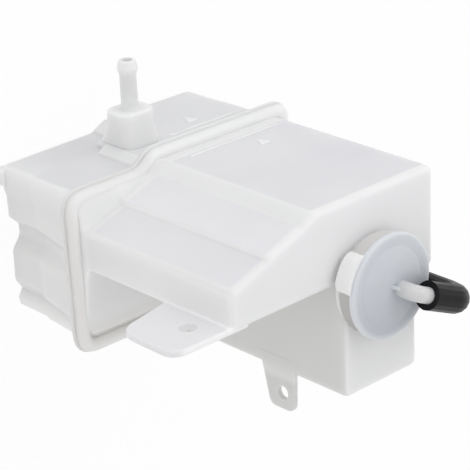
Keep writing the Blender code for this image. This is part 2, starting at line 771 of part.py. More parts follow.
def pull_lug(name):
    """Lobe on the skirt that a thumb lifts the cap by."""
    inner = NECK_RADIUS + CAP_CLEARANCE + SKIRT_WALL / 2
    outer = NECK_RADIUS + CAP_CLEARANCE + SKIRT_WALL
    low = TANK_HEIGHT + SKIRT_BOTTOM
    high = disc_underside() + DISC_THICKNESS / 2
    steps = 12
    rows = []
    for step in range(steps + 1):
        share = 2 * step / steps - 1
        angle = math.radians(PULL_LUG_ANGLE + share * PULL_LUG_SPREAD / 2)
        stand = (PULL_LUG_RADIUS - outer) * (1 - share ** 4)
        rows.append((angle, outer - SKIRT_WALL / 8 + stand))
    inside = [(angle, inner) for angle, _ in reversed(rows)]
    outline = [Vector((radius * math.cos(a), radius * math.sin(a))) for a, radius in rows + inside]
    rings = [at_height([Vector((NECK_X, NECK_Y)) + p for p in outline], height) for height in (low, high)]
    return loft(name, rings)


def stub_route(extra=0.0):
    """Centre line of the vent stub: up from the disc, round a bend, then out along the vent direction."""
    out = vent_direction()
    rise = Vector((0, 0, 1))
    start = cap_axis(disc_top()) + out * STUB_OFFSET
    corner = start + rise * STUB_RISE
    points = [start - rise * (DISC_THICKNESS / 2 + extra)]
    for step in range(ROUND_STEPS * 2 + 1):
        angle = math.pi / 2 * step / (ROUND_STEPS * 2)
        points.append(
            corner - rise * STUB_BEND + out * STUB_BEND
            + rise * STUB_BEND * math.sin(angle) - out * STUB_BEND * math.cos(angle))
    points.append(cap_axis(corner.z) + out * (STUB_TIP + extra))
    return points


def gusset(name):
    """Thin web that ties the stub to the disc on the side away from the bend."""
    out = vent_direction()
    side = Vector((-out.y, out.x, 0.0)) * (GUSSET_THICKNESS / 2)
    low = disc_top() - DISC_PANEL_DEPTH
    corners = [
        cap_axis(low) - out * 0.0010,
        cap_axis(low) + out * STUB_OFFSET,
        cap_axis(low + STUB_RISE * 0.62) + out * STUB_OFFSET,
        cap_axis(low + STUB_RISE * 0.50) + out * (STUB_OFFSET - STUB_RADIUS * 0.8),
    ]
    return loft(name, [[corner - side for corner in corners], [corner + side for corner in corners]])


def make_filler_cap():
    cap = cap_body("cap_body")
    join(
        cap,
        pull_lug("pull_lug"),
        pipe("stub", stub_route(), STUB_RADIUS),
        gusset("gusset"))
    cut(cap, pipe("stub_bore", stub_route(DISC_THICKNESS * 2), STUB_BORE, 3))
    return finish(cap, "filler_cap", materials[CAP_PLASTIC])


def make_cap_seal():
    low = TANK_HEIGHT + NECK_HEIGHT + FIT_GAP
    inside = NECK_RADIUS - NECK_WALL
    profile = [
        (inside, low + SEAL_THICKNESS),
        (NECK_RADIUS, low + SEAL_THICKNESS),
        (NECK_RADIUS, low),
        (inside, low),
    ]
    ring = turned("seal_ring", profile, TURN_STEPS, Vector((NECK_X, NECK_Y, 0.0)))
    return finish(ring, "cap_seal", materials[RUBBER])


def elbow_route(start, drop):
    """Centre line of the rubber elbow: out over the edge of the cap, then down the side recess."""
    out = vent_direction()
    rise = Vector((0, 0, 1))
    height = disc_top() + STUB_RISE
    turn = cap_axis(height) + out * (ELBOW_REACH - ELBOW_BEND) - rise * ELBOW_BEND
    points = [cap_axis(height) + out * start]
    steps = ROUND_STEPS * 3
    for step in range(steps + 1):
        angle = math.pi / 2 * step / steps
        points.append(turn + out * ELBOW_BEND * math.sin(angle) + rise * ELBOW_BEND * math.cos(angle))
    points.append(cap_axis(height - drop) + out * ELBOW_REACH)
    return points


def make_vent_elbow():
    elbow = pipe("elbow", elbow_route(ELBOW_START, ELBOW_DROP), ELBOW_RADIUS, 6)
    spare = ELBOW_RADIUS
    bore = pipe("elbow_bore", elbow_route(ELBOW_START - spare, ELBOW_DROP + spare), STUB_RADIUS + FIT_GAP, 5)
    cut(elbow, bore)
    return finish(elbow, "vent_elbow", materials[RUBBER])


clear_scene()
tank = new_collection("coolant_expansion_tank")
cutters = new_collection("cutters")
materials = {
    PLASTIC: make_material(PLASTIC, (0.86, 0.86, 0.85), 0.38),
    CAP_PLASTIC: make_material(CAP_PLASTIC, (0.72, 0.75, 0.80), 0.34),
    RUBBER: make_material(RUBBER, (0.025, 0.025, 0.028), 0.55),
}
make_lower_shell()
make_upper_shell()
make_filler_cap()
make_cap_seal()
make_vent_elbow()
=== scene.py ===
# Coolant expansion tank, dressed for the photograph's view.
# Metres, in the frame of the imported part: +Z up to the filler cap, -Y out of the marked face,
# +X towards the shelf. Nothing is read from disk apart from the frame.

import math

import bmesh
import bpy
from mathutils import Matrix, Vector


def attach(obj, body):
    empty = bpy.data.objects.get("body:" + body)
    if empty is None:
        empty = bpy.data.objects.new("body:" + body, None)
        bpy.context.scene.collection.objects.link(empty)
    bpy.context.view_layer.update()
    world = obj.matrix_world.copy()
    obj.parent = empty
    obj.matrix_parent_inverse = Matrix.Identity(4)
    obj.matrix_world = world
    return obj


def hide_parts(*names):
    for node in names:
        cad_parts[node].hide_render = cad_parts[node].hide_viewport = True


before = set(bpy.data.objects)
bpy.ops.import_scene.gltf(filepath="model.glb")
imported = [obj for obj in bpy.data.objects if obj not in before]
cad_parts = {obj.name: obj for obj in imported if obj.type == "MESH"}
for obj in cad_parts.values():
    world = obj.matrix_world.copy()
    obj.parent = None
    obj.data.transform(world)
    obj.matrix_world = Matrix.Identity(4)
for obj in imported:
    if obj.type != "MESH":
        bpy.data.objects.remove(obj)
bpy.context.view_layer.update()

# Driving heights, from the base up
TANK_HEIGHT = 0.160
WELD_HEIGHT = 0.0568
WELD_GAP = 0.0003
FLANGE_HALF = 0.0025

# Tank section: X is across the marked face, Y runs from the marked face (-) to the back (+)
SHELF_X = 0.064
CAP_SIDE_X = -0.0603
FACE_Y = -0.0393
BACK_Y = 0.056
WALL = 0.0025

# Upper body: a sloped shelf in front of a narrower tank, and a side recess for the vent elbow
SHELF_FRONT_Y = -0.0192
SHELF_FLOOR_Y = -0.0010
STEP_FOOT_X = 0.0216
STEP_FOOT_Y = -0.0351
STEP_TOP_X = 0.0140
CREASE_X = 0.0420
CREASE_RISE = 0.0012
CREASE_HALF = 0.0010
INNER_WALL_X = -0.0017
RECESS_DEPTH = 0.0115
RECESS_Y = 0.0095
RECESS_SLANT = 0.0015
TOP_EDGE = 0.0032

# Mouth of both mouldings at the weld
DECK_Y = -0.0348
MOUTH_FLOOR_Y = 0.0350
MOUTH_FLOOR_X = 0.0120
MOUTH_BACK_X = 0.0020
MOUTH_STEP_FOOT_X = 0.0240
MOUTH_STEP_TOP_X = 0.0175
MOUTH_SIDE_TAPER = 0.0083

# Lower body: each corner at the mouth, where the front groove deepens, and at the base, then its cut
LOWER_STATIONS = [
    ((MOUTH_FLOOR_X, MOUTH_FLOOR_Y), (0.0110, 0.0355), (0.0100, 0.0360), 0.0060),
    ((MOUTH_BACK_X, BACK_Y), (0.0010, 0.0540), (0.0000, 0.0520), 0.0060),
    ((CAP_SIDE_X + MOUTH_SIDE_TAPER, BACK_Y), (-0.0500, 0.0540), (-0.0480, 0.0520), 0.0070),
    ((CAP_SIDE_X, FACE_Y), (-0.0600, -0.0393), (-0.0592, -0.0392), 0.0055),
    ((MOUTH_STEP_TOP_X, FACE_Y), (0.0172, -0.0393), (-0.0020, -0.0392), 0.0010),
    ((MOUTH_STEP_FOOT_X, DECK_Y), (0.0237, -0.0350), (0.0065, -0.0349), 0.0010),
    ((SHELF_X, DECK_Y), (0.0620, -0.0345), (0.0611, -0.0341), 0.0050),
    ((SHELF_X, -0.0130), (0.0612, -0.0190), (0.0601, -0.0215), 0.0010),
    ((SHELF_X, -0.0108), (0.0604, -0.0167), (0.0591, -0.0190), 0.0010),
    ((SHELF_X, -0.0070), (0.0602, -0.0080), (0.0589, -0.0080), 0.0012),
    ((SHELF_X - 0.0003, -0.0030), (0.0552, -0.0032), (0.0538, -0.0032), 0.0014),
    ((SHELF_X - 0.0003, 0.0030), (0.0551, 0.0030), (0.0536, 0.0030), 0.0020),
    ((SHELF_X, 0.0075), (0.0612, 0.0082), (0.0584, 0.0088), 0.0025),
    ((SHELF_X, 0.0265), (0.0612, 0.0252), (0.0586, 0.0245), 0.0020),
    ((SHELF_X - 0.0002, 0.0303), (0.0565, 0.0300), (0.0550, 0.0300), 0.0008),
    ((SHELF_X, 0.0325), (0.0592, 0.0335), (0.0576, 0.0338), 0.0008),
    ((SHELF_X, MOUTH_FLOOR_Y), (0.0592, 0.0368), (0.0570, 0.0375), 0.0006),
]
# How far down the lower body each stage of its section comes: stage, share of the height
LOWER_DROPS = [(0.0, 0.0), (0.3, 0.15), (0.7, 0.36), (1.0, 0.52), (1.5, 0.56), (1.85, 0.61), (2.0, 0.92)]
BASE_EDGE = 0.0030
HOLLOW_EDGE = 0.0010
CORNER_LIP_SPAN = (-0.0335, -0.0235)
CORNER_LIP_STAND = 0.0016
CORNER_LIP_EDGE = 0.0006
CORNER_LIP_RISE = 0.0045

# Weld flange
LIP_FRONT = 0.0037
LIP_FRONT_DECK = 0.0052
LIP_DECK = 0.0022
LIP_FACE = 0.0047
LIP_SIDE = 0.0092
LIP_BACK = 0.0030
LIP_FLOOR = 0.0080
RIM_WIDTH = 0.0068
RIM_HEIGHT = 0.0048
RIM_EDGE = 0.0008
RIM_GROOVE = 0.0004
SHOULDER_RISE = 0.0065
# Shoulder between the mouth and the upper body: share of the way across, share of the rise
SHOULDER = [(0.0, 0.0), (0.06, 0.30), (0.30, 0.44), (0.62, 0.58), (0.84, 0.72), (0.96, 0.87), (1.0, 1.0)]

# Outlet nipple and the boss that carries it, on the marked face of the lower moulding
BOSS_X = 0.0092
BOSS_HEIGHT = 0.0355
BOSS_WIDTH_X = 0.0200
BOSS_WIDTH_Z = 0.0165
BOSS_STAND = 0.0167
BOSS_WALL = 0.0022
BOSS_CORNER = 0.42
BOSS_EDGE_DROP = 0.0008
BOSS_EDGE_IN = 0.0010
# Foot of the boss: height above the face, how far it spreads
BOSS_FLARE = [(-0.0060, 0.0085), (-0.0030, 0.0070), (0.0000, 0.0048), (0.0040, 0.0024), (0.0085, 0.0007)]
BOSS_FLARE_LEFT = 0.35
BOSS_FLARE_RIGHT = -0.30
BOSS_FLARE_DOWN = 1.6
BOSS_FLARE_UP = 0.15
NIPPLE_RADIUS = 0.0041
NIPPLE_BARB = 0.0006
NIPPLE_LENGTH = 0.0235
NIPPLE_BORE = 0.0026
NIPPLE_DRAFT = 0.0002

# Fillet at the foot, and cut at the tip, of both the nipple and the filler neck
FILLET_OUT = 0.0010
FILLET_UP = 0.0012
TIP_CUT = 0.0005

# Fixing tabs
TAB_THICKNESS = 0.0030
TAB_STEP = 0.0003
TAB_REACH = 0.0330
TAB_WIDTH = 0.0410
TAB_ROOT_SPREAD = 0.0045
TAB_HOLE_RADIUS = 0.0042
TAB_HOLE_OUT = 0.0120
TAB_HOLE_DOWN = 0.0150
TAB_DROP = 0.0006
TAB_ROOT = 4 * WALL
TAB_EDGE = 0.0008
BACK_TAB_REACH = 0.0193
BACK_TAB_LOW = 0.1067
BACK_TAB_HIGH = 0.1265
BACK_TAB_HOLE_OUT = 0.0106
BACK_TAB_HOLE_HEIGHT = 0.1194
BACK_TAB_HOLE_RADIUS = 0.0034
BACK_TAB_ROOT = 3 * WALL
BACK_TAB_EDGE = 0.0005
BACK_TAB_SHIFT = 0.0002

# Filler neck and cap
NECK_IN = 0.0411
NECK_X = CAP_SIDE_X + NECK_IN
NECK_Y = 0.0028
NECK_RADIUS = 0.0205
NECK_WALL = 0.0024
NECK_HEIGHT = 0.0074
NECK_BEAD = 0.0003
NECK_BEAD_HEIGHT = 0.0050
NECK_BEAD_HALF = 0.0008
NECK_FLOOR = 0.0005
THROAT_STEP = 0.0008
THROAT_WALL = 0.0016
FIT_GAP = 0.0003
SEAL_THICKNESS = 0.0013
CAP_CLEARANCE = 0.0009
CAP_LIP = 0.0003
CAP_LIP_LOW = 0.0008
CAP_LIP_HIGH = 0.0014
SKIRT_WALL = 0.0020
SKIRT_BOTTOM = 0.0028
DISC_RADIUS = 0.0246
DISC_THICKNESS = 0.0030
DISC_PANEL_RADIUS = 0.0175
DISC_PANEL_DEPTH = 0.0004
DISC_PANEL_SLOPE = 0.0012
DISC_RIM = 0.32 * DISC_THICKNESS
DISC_RIM_CUT = 0.3 * DISC_RIM
PLUG_WALL = 0.0016
PLUG_LENGTH = 0.0075
PLUG_EDGE_IN = 0.0004
PLUG_EDGE_UP = 0.0008
PULL_LUG_RADIUS = 0.0274
PULL_LUG_ANGLE = -30.0
PULL_LUG_SPREAD = 50.0
PULL_LUG_SQUARE = 4

# Vent stub of the cap, and the rubber elbow pushed onto it
VENT_ANGLE = 155.7
STUB_RADIUS = 0.0038
STUB_BORE = 0.0021
STUB_OFFSET = 0.0055
STUB_RISE = 0.0092
STUB_BEND = 0.0050
STUB_TIP = 0.0250
GUSSET_THICKNESS = 0.0016
GUSSET_TOE = 0.0010
GUSSET_HEEL = 0.8 * STUB_RADIUS
GUSSET_HIGH = 0.62 * STUB_RISE
GUSSET_LOW = 0.50 * STUB_RISE
ELBOW_RADIUS = 0.00675
ELBOW_START = 0.0137
ELBOW_REACH = 0.0406
ELBOW_BEND = 0.0105
ELBOW_DROP = 0.0440

# Facets: steps of each curve, sides of each tube, the sharp angle in degrees, the merging distance
CORNER_STEPS = 8
ROUND_STEPS = 7
TURN_STEPS = 128
SMALL_TURN_STEPS = 48
PULL_LUG_STEPS = 12
PIPE_ROUND = 6
STUB_BORE_ROUND = 3
ELBOW_BORE_ROUND = 5
SEAM_SIDES = 12
SHARP_ANGLE = 22
MERGE = 1e-6

# Weld bead, and the raised level marks of the marked face, drawn in X and Z
SEAM_INSET = 0.0009
SEAM_RADIUS = 0.0016
MARK_WIDTH = 0.0012
MARK_RISE = 0.0005
MARK_FOOT = 0.2 * MARK_RISE
MARK_SLOPE = 0.6 * MARK_RISE
ARROW_SIZE = 0.0070
# Each level line's left end, right end and height, and its arrow's tip
LOW_LINE = (-0.0480, -0.0080, 0.0430)
LOW_ARROW = (-0.0280, 0.0300)
FULL_LINE = (-0.0514, 0.0048, 0.0706)
FULL_ARROW = (-0.0300, 0.0780)

# Noise of the finishes, in features a metre
CLOUD_SCALE = 16.0
FLOW_SCALE = 60.0
RIPPLE_SCALE = 70.0
DUST_SCALE = 90.0
GRAIN_SCALE = 1400.0
RUBBER_GRAIN_SCALE = 1800.0

# Where the tank's colour changes, painted light and shade included, and how softly
PANEL_LOW = WELD_HEIGHT + 0.0110
PANEL_HIGH = TANK_HEIGHT - 0.0030
PANEL_END_X = SHELF_X - 0.0030
RIM_LOW = WELD_HEIGHT - 0.0035
RIM_HIGH = WELD_HEIGHT + 0.0055
BODY_LOW = WELD_HEIGHT + 0.0100
FRONT_LOW = WELD_HEIGHT + 0.0080
FOOT_X = CAP_SIDE_X + 0.1050
FOOT_HIGH = WELD_HEIGHT - 0.0060
CREASE_SLACK = 0.6 * CREASE_RISE
FLUSH = 0.0003
FLUSH_SOFT = 0.0002
EDGE_SOFT = 0.0012

# Linear colours
PALE = (0.910, 0.910, 0.908)
SHADED = (0.875, 0.875, 0.873)
COOL_FACE = (0.770, 0.766, 0.806)
COOL_SHELF = (0.850, 0.845, 0.885)
COOL_DECK = (0.765, 0.765, 0.787)
COOL_EAR = (0.760, 0.762, 0.780)
FRONT_PAINTED_LIGHT = (0.965, 0.955, 0.965)
FRONT_SHADE = (0.850, 0.845, 0.845)
FOOT_TINT = (0.860, 0.856, 0.852)
BACK_PAINTED_SHADE = (0.650, 0.660, 0.630)
RIM_TINT = (0.830, 0.800, 0.785)
END_PAINTED_LIGHT = (0.955, 0.945, 0.970)
TAB_TINT = (0.660, 0.660, 0.650)
CAP_BLUE = (0.660, 0.685, 0.725)
CAP_PAINTED_SHADE = (0.490, 0.515, 0.555)
CAP_RIM = (0.740, 0.760, 0.795)
CAP_SKIRT_PAINTED_SHADE = (0.640, 0.635, 0.620)
CAP_MILKY = (0.870, 0.870, 0.865)
SKIRT_PAINTED_SHADOW = (0.400, 0.390, 0.375)
STUB_MILKY = (0.680, 0.680, 0.685)
RUBBER_BLACK = (0.004, 0.004, 0.005)
RUBBER_DUST = (0.012, 0.012, 0.014)
FLOOR_PALE = (0.930, 0.930, 0.930)

# Floor, surroundings and lamps: name, place, what it looks at, disc size, watts, colour
FLOOR_HALF = 3.0
FLOOR_DROP = 0.0004
FLOOR_GLOW = 0.94
SURROUNDINGS = 0.82
LAMPS = [
    ("key", (-0.10, -1.30, 0.55), (0, 0, 0.08), 1.2, 1.0, (0.98, 0.98, 1.0)),
    ("top", (-0.55, -0.85, 0.95), (0, 0, 0.12), 1.2, 2.4, (1.0, 1.0, 0.99)),
    ("side", (1.30, -0.60, 0.55), (0, 0, 0.08), 1.2, 1.0, (1.0, 0.99, 0.98)),
]

# Camera at the photograph's angle: its axes, its place and its lens
CAMERA_RIGHT = (-0.7260, 0.0419, 0.6864)
CAMERA_UP = (-0.3008, -0.9169, -0.2621)
CAMERA_BACK = (0.6184, -0.3968, 0.6783)
CAMERA_PLACE = (0.56197, -0.36615, 0.70971)
SENSOR_WIDTH = 36.0
FRAME_PIXELS = 470.0
FOCAL_PIXELS = 1998.77


# Shader maths

class Value:
    """A node's output that takes part in Python arithmetic."""

    def __init__(self, tree, socket):
        self.tree = tree
        self.socket = socket

    def maths(self, operation, *values):
        node = self.tree.nodes.new("ShaderNodeMath")
        node.operation = operation
        for target, value in zip(node.inputs, values):
            put(self.tree, target, value)
        return Value(self.tree, node.outputs[0])

    def __add__(self, other):
        return self.maths("ADD", self, other)

    def __sub__(self, other):
        return self.maths("SUBTRACT", self, other)

    def __rsub__(self, other):
        return self.maths("SUBTRACT", other, self)

    def __mul__(self, other):
        return self.maths("MULTIPLY", self, other)

    def __truediv__(self, other):
        return self.maths("DIVIDE", self, other)

    __radd__ = __add__
    __rmul__ = __mul__

    def absolute(self):
        return self.maths("ABSOLUTE", self)

    def root(self):
        return self.maths("SQRT", self)

    def clamped(self):
        node = self.tree.nodes.new("ShaderNodeClamp")
        put(self.tree, node.inputs["Value"], self)
        return Value(self.tree, node.outputs[0])

    def band(self, centre, width):
        """1 within the band, falling to 0 over as much again on both sides."""
        return (2.0 - (self - centre).absolute() / (width / 2)).clamped()

    def above(self, edge, width):
        """0 below the edge, rising to 1 over the width."""
        return ((self - edge) / width).clamped()

    def between(self, low, high, width):
        """1 from low to high, falling to 0 over the width inside each end."""
        return self.above(low, width) * (1.0 - self.above(high - width, width))


def put(tree, target, value):
    if isinstance(value, Value):
        tree.links.new(value.socket, target)
    elif hasattr(target.default_value, "__len__") and len(target.default_value) == 4:
        target.default_value = (*value, 1.0)
    else:
        target.default_value = value


class Finish:
    """A material, built up from its surface's Object coordinates."""

    def __init__(self, name):
        self.material = bpy.data.materials.new(name)
        self.material.use_nodes = True
        self.tree = self.material.node_tree
        self.surface = self.tree.nodes["Principled BSDF"]
        self.place = self.node("ShaderNodeTexCoord", output="Object")
        axes = self.node("ShaderNodeSeparateXYZ", inputs={"Vector": self.place}).socket.node
        self.x, self.y, self.z = (Value(self.tree, socket) for socket in axes.outputs)

    def node(self, kind, settings=None, inputs=None, output=0):
        """A new node with its settings and its inputs, as the value of one of its outputs."""
        made = self.tree.nodes.new(kind)
        for name, value in (settings or {}).items():
            setattr(made, name, value)
        for name, value in (inputs or {}).items():
            put(self.tree, made.inputs[name], value)
        return Value(self.tree, made.outputs[output])

    def noise(self, scale, detail, stretch=(1.0, 1.0, 1.0)):
        place = self.node("ShaderNodeMapping", inputs={"Vector": self.place, "Scale": stretch})
        return self.node("ShaderNodeTexNoise", inputs={"Vector": place, "Scale": scale, "Detail": detail})

    def mix(self, factor, first, second):
        """Blends two colours; the sockets go by number, because the node repeats their names."""
        return self.node("ShaderNodeMix", {"data_type": "RGBA"}, {0: factor, 6: first, 7: second}, 2)

    def bump(self, height, distance):
        return self.node("ShaderNodeBump", inputs={"Height": height, "Distance": distance})

    def set(self, **inputs):
        """Sets or links inputs of the surface's shader and gives back the material."""
        for name, value in inputs.items():
            put(self.tree, self.surface.inputs[name.replace("_", " ")], value)
        return self.material


# Finishes

def upper_skin(f):
    """1 on the flat panels of the upper moulding's marked side, 0 on its step and edges and elsewhere; the
    pale this leaves on the step, the crease and the edges is partly thicker plastic and partly painted
    highlight.
    """
    step = f.x.above(STEP_TOP_X, STEP_FOOT_X - STEP_TOP_X) * (STEP_FOOT_Y - FACE_Y)
    slope = f.x.above(STEP_FOOT_X, SHELF_X - STEP_FOOT_X) * (SHELF_FRONT_Y - STEP_FOOT_Y)
    depth = f.y - (step + slope + FACE_Y)
    slack = f.x.above(STEP_FOOT_X, 0.0010) * CREASE_SLACK
    skin = (depth + slack).above(-FLUSH, FLUSH_SOFT) * (1.0 - (depth - slack).above(FLUSH, 0.0009))
    skin = skin * f.z.between(PANEL_LOW, PANEL_HIGH, EDGE_SOFT)
    # The step band, the crease and the panel ends stay pale as painted highlights along those edges.
    skin = skin * (1.0 - f.x.between(STEP_TOP_X - 0.0006, STEP_FOOT_X + 0.0008, 0.0008))
    return skin * (1.0 - f.x.band(CREASE_X, 0.0009)) * (1.0 - f.x.above(PANEL_END_X, 0.0010))


def lower_skin(f):
    """1 on the flat panels of the lower moulding's marked side, 0 on its step and edges and elsewhere; the
    pale this leaves on the step and the edges is partly thicker plastic and partly painted highlight.
    """
    skin = f.y.above(FACE_Y - FLUSH, FLUSH_SOFT) * (1.0 - f.y.above(DECK_Y + FLUSH, 0.0008))
    skin = skin * (1.0 - f.y.between(FACE_Y + FLUSH, DECK_Y - 2 * FLUSH, 0.0004))
    skin = skin * f.z.between(0.0020, RIM_LOW, EDGE_SOFT)
    return skin * f.x.between(CAP_SIDE_X + 0.0030, SHELF_X - 0.0040, EDGE_SOFT)


def tank_plastic(name):
    """Natural polypropylene: white where thick, with painted highlights along the edges, cooler on thin
    panels, warmer at the rim, painted shade under the shelf and on the back, painted shade and light on the
    front side, and painted light on the top end.
    """
    f = Finish(name)
    cloud = f.noise(CLOUD_SCALE, 2.0).above(0.40, 0.25)
    flow = f.noise(FLOW_SCALE, 3.0, (1.0, 1.0, 0.16)).above(0.45, 0.30)
    thin = 0.75 + cloud * 0.25
    colour = f.mix(cloud * 0.35 + flow * 0.15, PALE, SHADED)
    colour = f.mix(lower_skin(f) * thin, colour, COOL_DECK)
    cool = f.mix(f.x.above(STEP_TOP_X, 0.0050), COOL_FACE, COOL_SHELF)
    colour = f.mix(upper_skin(f) * thin, colour, cool)
    # Painted shade under the shelf and on the back side, above the weld.
    back = f.y.above(SHELF_FLOOR_Y - 0.0018, 0.0014) * f.z.above(BODY_LOW, 0.0100)
    colour = f.mix(back * 0.60, colour, BACK_PAINTED_SHADE)
    # Front side: painted shade near the weld, rising into painted light higher up; the front tab keeps its
    # own cool tone.
    front = f.x.above(SHELF_X - 0.0008, 0.0006) * f.z.above(FRONT_LOW, 0.0030)
    ear = f.x.above(SHELF_X + 0.0010, 0.0020)
    lit = f.mix(f.z.above(BODY_LOW, 0.0500), FRONT_SHADE, FRONT_PAINTED_LIGHT)
    colour = f.mix(front, colour, f.mix(ear, lit, COOL_EAR))
    foot = f.x.above(FOOT_X, 0.0040) * (1.0 - f.z.above(FOOT_HIGH, 0.0020))
    colour = f.mix(foot * f.y.above(DECK_Y + 0.0060, 0.0080), colour, FOOT_TINT)
    across = f.y.above(DECK_Y, 0.0200) + f.x.above(MOUTH_STEP_TOP_X, 0.0060) * 0.5
    rim = f.z.between(RIM_LOW, RIM_HIGH, 0.0010) * across.clamped()
    colour = f.mix(rim * 0.80, colour, RIM_TINT)
    # Painted light on the top end: brightest next to the marked face and round the cap, fading to the plain
    # tone towards the back.
    end = f.z.above(TANK_HEIGHT - 0.0015, 0.0010)
    end_light_fade = f.y.above(FACE_Y + 0.0100, 0.0600)
    colour = f.mix(end, colour, f.mix(end_light_fade, END_PAINTED_LIGHT, PALE))
    tab = f.y.above(BACK_Y + 0.0020, 0.0030)
    colour = f.mix(tab, colour, TAB_TINT)
    ripple = f.noise(RIPPLE_SCALE, 2.0)
    grain = f.noise(GRAIN_SCALE, 2.0)
    return f.set(
        Base_Color=colour, Roughness=0.30 + cloud * 0.08 + grain * 0.06, IOR=1.49,
        Specular_IOR_Level=0.35, Subsurface_Weight=0.60,
        Subsurface_Radius=(1.0, 0.97, 0.95), Subsurface_Scale=0.006,
        Normal=f.bump(ripple * 0.7 + grain * 0.06, 0.0004))


def cap_plastic(name):
    """Softer plastic of the cap: bluish on the thin disc with painted shade towards +Y, painted shade on
    the skirt under the disc, milky on the pull lug and the stub.
    """
    f = Finish(name)
    east = f.x - NECK_X
    north = f.y - NECK_Y
    radius = (east * east + north * north).root()
    rim = radius.above(DISC_PANEL_RADIUS + 0.0040, 0.0030)
    skirt = 1.0 - f.z.above(disc_underside() - 0.0004, 0.0008)
    stub = f.z.above(disc_top() + 0.0008, 0.0020)
    lug = radius.above(DISC_RADIUS + 0.0001, 0.0006)
    cloud = f.noise(CLOUD_SCALE * 2, 3.0).above(0.35, 0.30)
    # Painted shade: the disc and the skirt darken towards +Y.
    shade = north.above(-0.016, 0.034)
    colour = f.mix(cloud * 0.2 + shade * 0.8, CAP_BLUE, CAP_PAINTED_SHADE)
    colour = f.mix(rim * 0.8, colour, CAP_RIM)
    # Painted shade on the skirt under the disc, darkest towards +Y.
    colour = f.mix(skirt, colour, f.mix(shade, CAP_SKIRT_PAINTED_SHADE, SKIRT_PAINTED_SHADOW))
    colour = f.mix(lug, colour, CAP_MILKY)
    colour = f.mix(stub, colour, STUB_MILKY)
    grain = f.noise(GRAIN_SCALE, 2.0)
    return f.set(
        Base_Color=colour, Roughness=0.30 + cloud * 0.10, IOR=1.50,
        Subsurface_Weight=0.25, Subsurface_Radius=(0.9, 0.95, 1.0), Subsurface_Scale=0.003,
        Normal=f.bump(grain * 0.5 + cloud * 0.5, 0.0002))


def rubber(name):
    """Black moulded rubber: dull, with random dusty patches that are paler and rougher, a little glossier
    between them.
    """
    f = Finish(name)
    dust = f.noise(DUST_SCALE, 4.0).above(0.48, 0.25)
    grain = f.noise(RUBBER_GRAIN_SCALE, 3.0)
    return f.set(
        Base_Color=f.mix(dust, RUBBER_BLACK, RUBBER_DUST),
        Roughness=0.30 + dust * 0.16 + grain * 0.05, IOR=1.52, Specular_IOR_Level=0.18,
        Normal=f.bump(grain, 0.00012))


# Outlines

def inset_corners(corners, distance):
    """Moves each side of a closed outline inwards by the distance; corners run anticlockwise."""
    moved = []
    for index, point in enumerate(corners):
        before = (point - corners[index - 1]).normalized()
        after = (corners[(index + 1) % len(corners)] - point).normalized()
        normal_before = Vector((-before.y, before.x))
        normal_after = Vector((-after.y, after.x))
        share = distance / (1.0 + normal_before.dot(normal_after))
        moved.append(point + (normal_before + normal_after) * share)
    return moved


def rounded(corners, cuts):
    """Rounds each corner with a quadratic curve that starts one cut away from it on both sides."""
    points = []
    for index, corner in enumerate(corners):
        before = corners[index - 1] - corner
        after = corners[(index + 1) % len(corners)] - corner
        reach = min(cuts[index], 0.45 * before.length, 0.45 * after.length)
        start = corner + before.normalized() * reach
        end = corner + after.normalized() * reach
        for step in range(CORNER_STEPS + 1):
            t = step / CORNER_STEPS
            points.append(start * (1 - t) ** 2 + corner * 2 * t * (1 - t) + end * t ** 2)
    return points


def inner_cuts(corners, cuts, wall):
    """Corner cuts of the inside of a wall: smaller on outer corners, larger on re-entrant ones."""
    changed = []
    for index, corner in enumerate(corners):
        before = corner - corners[index - 1]
        after = corners[(index + 1) % len(corners)] - corner
        outer_corner = before.cross(after) > 0
        changed.append(max(cuts[index] - wall, WALL / 5) if outer_corner else cuts[index] + wall)
    return changed


def at_height(outline, height):
    return [Vector((point.x, point.y, height)) for point in outline]


def corners_and_cuts(rows):
    """Splits rows of X, Y and corner cut into the corners and their cuts."""
    return [Vector(row[:2]) for row in rows], [row[2] for row in rows]


# Solids

def placed(name, data):
    """A new object with this data, linked to the scene."""
    made = bpy.data.objects.new(name, data)
    bpy.context.scene.collection.objects.link(made)
    return made


def object_from_bmesh(name, shape):
    bmesh.ops.recalc_face_normals(shape, faces=shape.faces)
    mesh = bpy.data.meshes.new(name)
    shape.to_mesh(mesh)
    shape.free()
    return placed(name, mesh)


def loft(name, rings):
    """A closed solid through rings of equally many points, with a flat face at each end."""
    shape = bmesh.new()
    loops = [[shape.verts.new(point) for point in ring] for ring in rings]
    for low, high in zip(loops, loops[1:]):
        for index in range(len(low)):
            following = (index + 1) % len(low)
            shape.faces.new((low[index], low[following], high[following], high[index]))
    for end in (loops[0], loops[-1]):
        shape.faces.new(end)
    return object_from_bmesh(name, shape)


def turned(name, profile, steps, centre, tilt=0.0):
    """Turns a profile of (radius, height) points about Z; it ends on the axis or runs back to its start."""
    shape = bmesh.new()
    points = [shape.verts.new((radius, 0.0, height)) for radius, height in profile]
    first = 1 if profile[0][0] == 0.0 else 0
    edges = [shape.edges.new((points[index - 1], points[index])) for index in range(first, len(points))]
    bmesh.ops.spin(
        shape, geom=points + edges, cent=(0, 0, 0), axis=(0, 0, 1),
        angle=2 * math.pi, steps=steps, use_merge=True, use_duplicate=False)
    bmesh.ops.remove_doubles(shape, verts=shape.verts, dist=MERGE)
    bmesh.ops.dissolve_degenerate(shape, dist=MERGE / 10, edges=shape.edges)
    made = object_from_bmesh(name, shape)
    made.data.transform(Matrix.Translation(centre) @ Matrix.Rotation(tilt, 4, "X"))
    return made


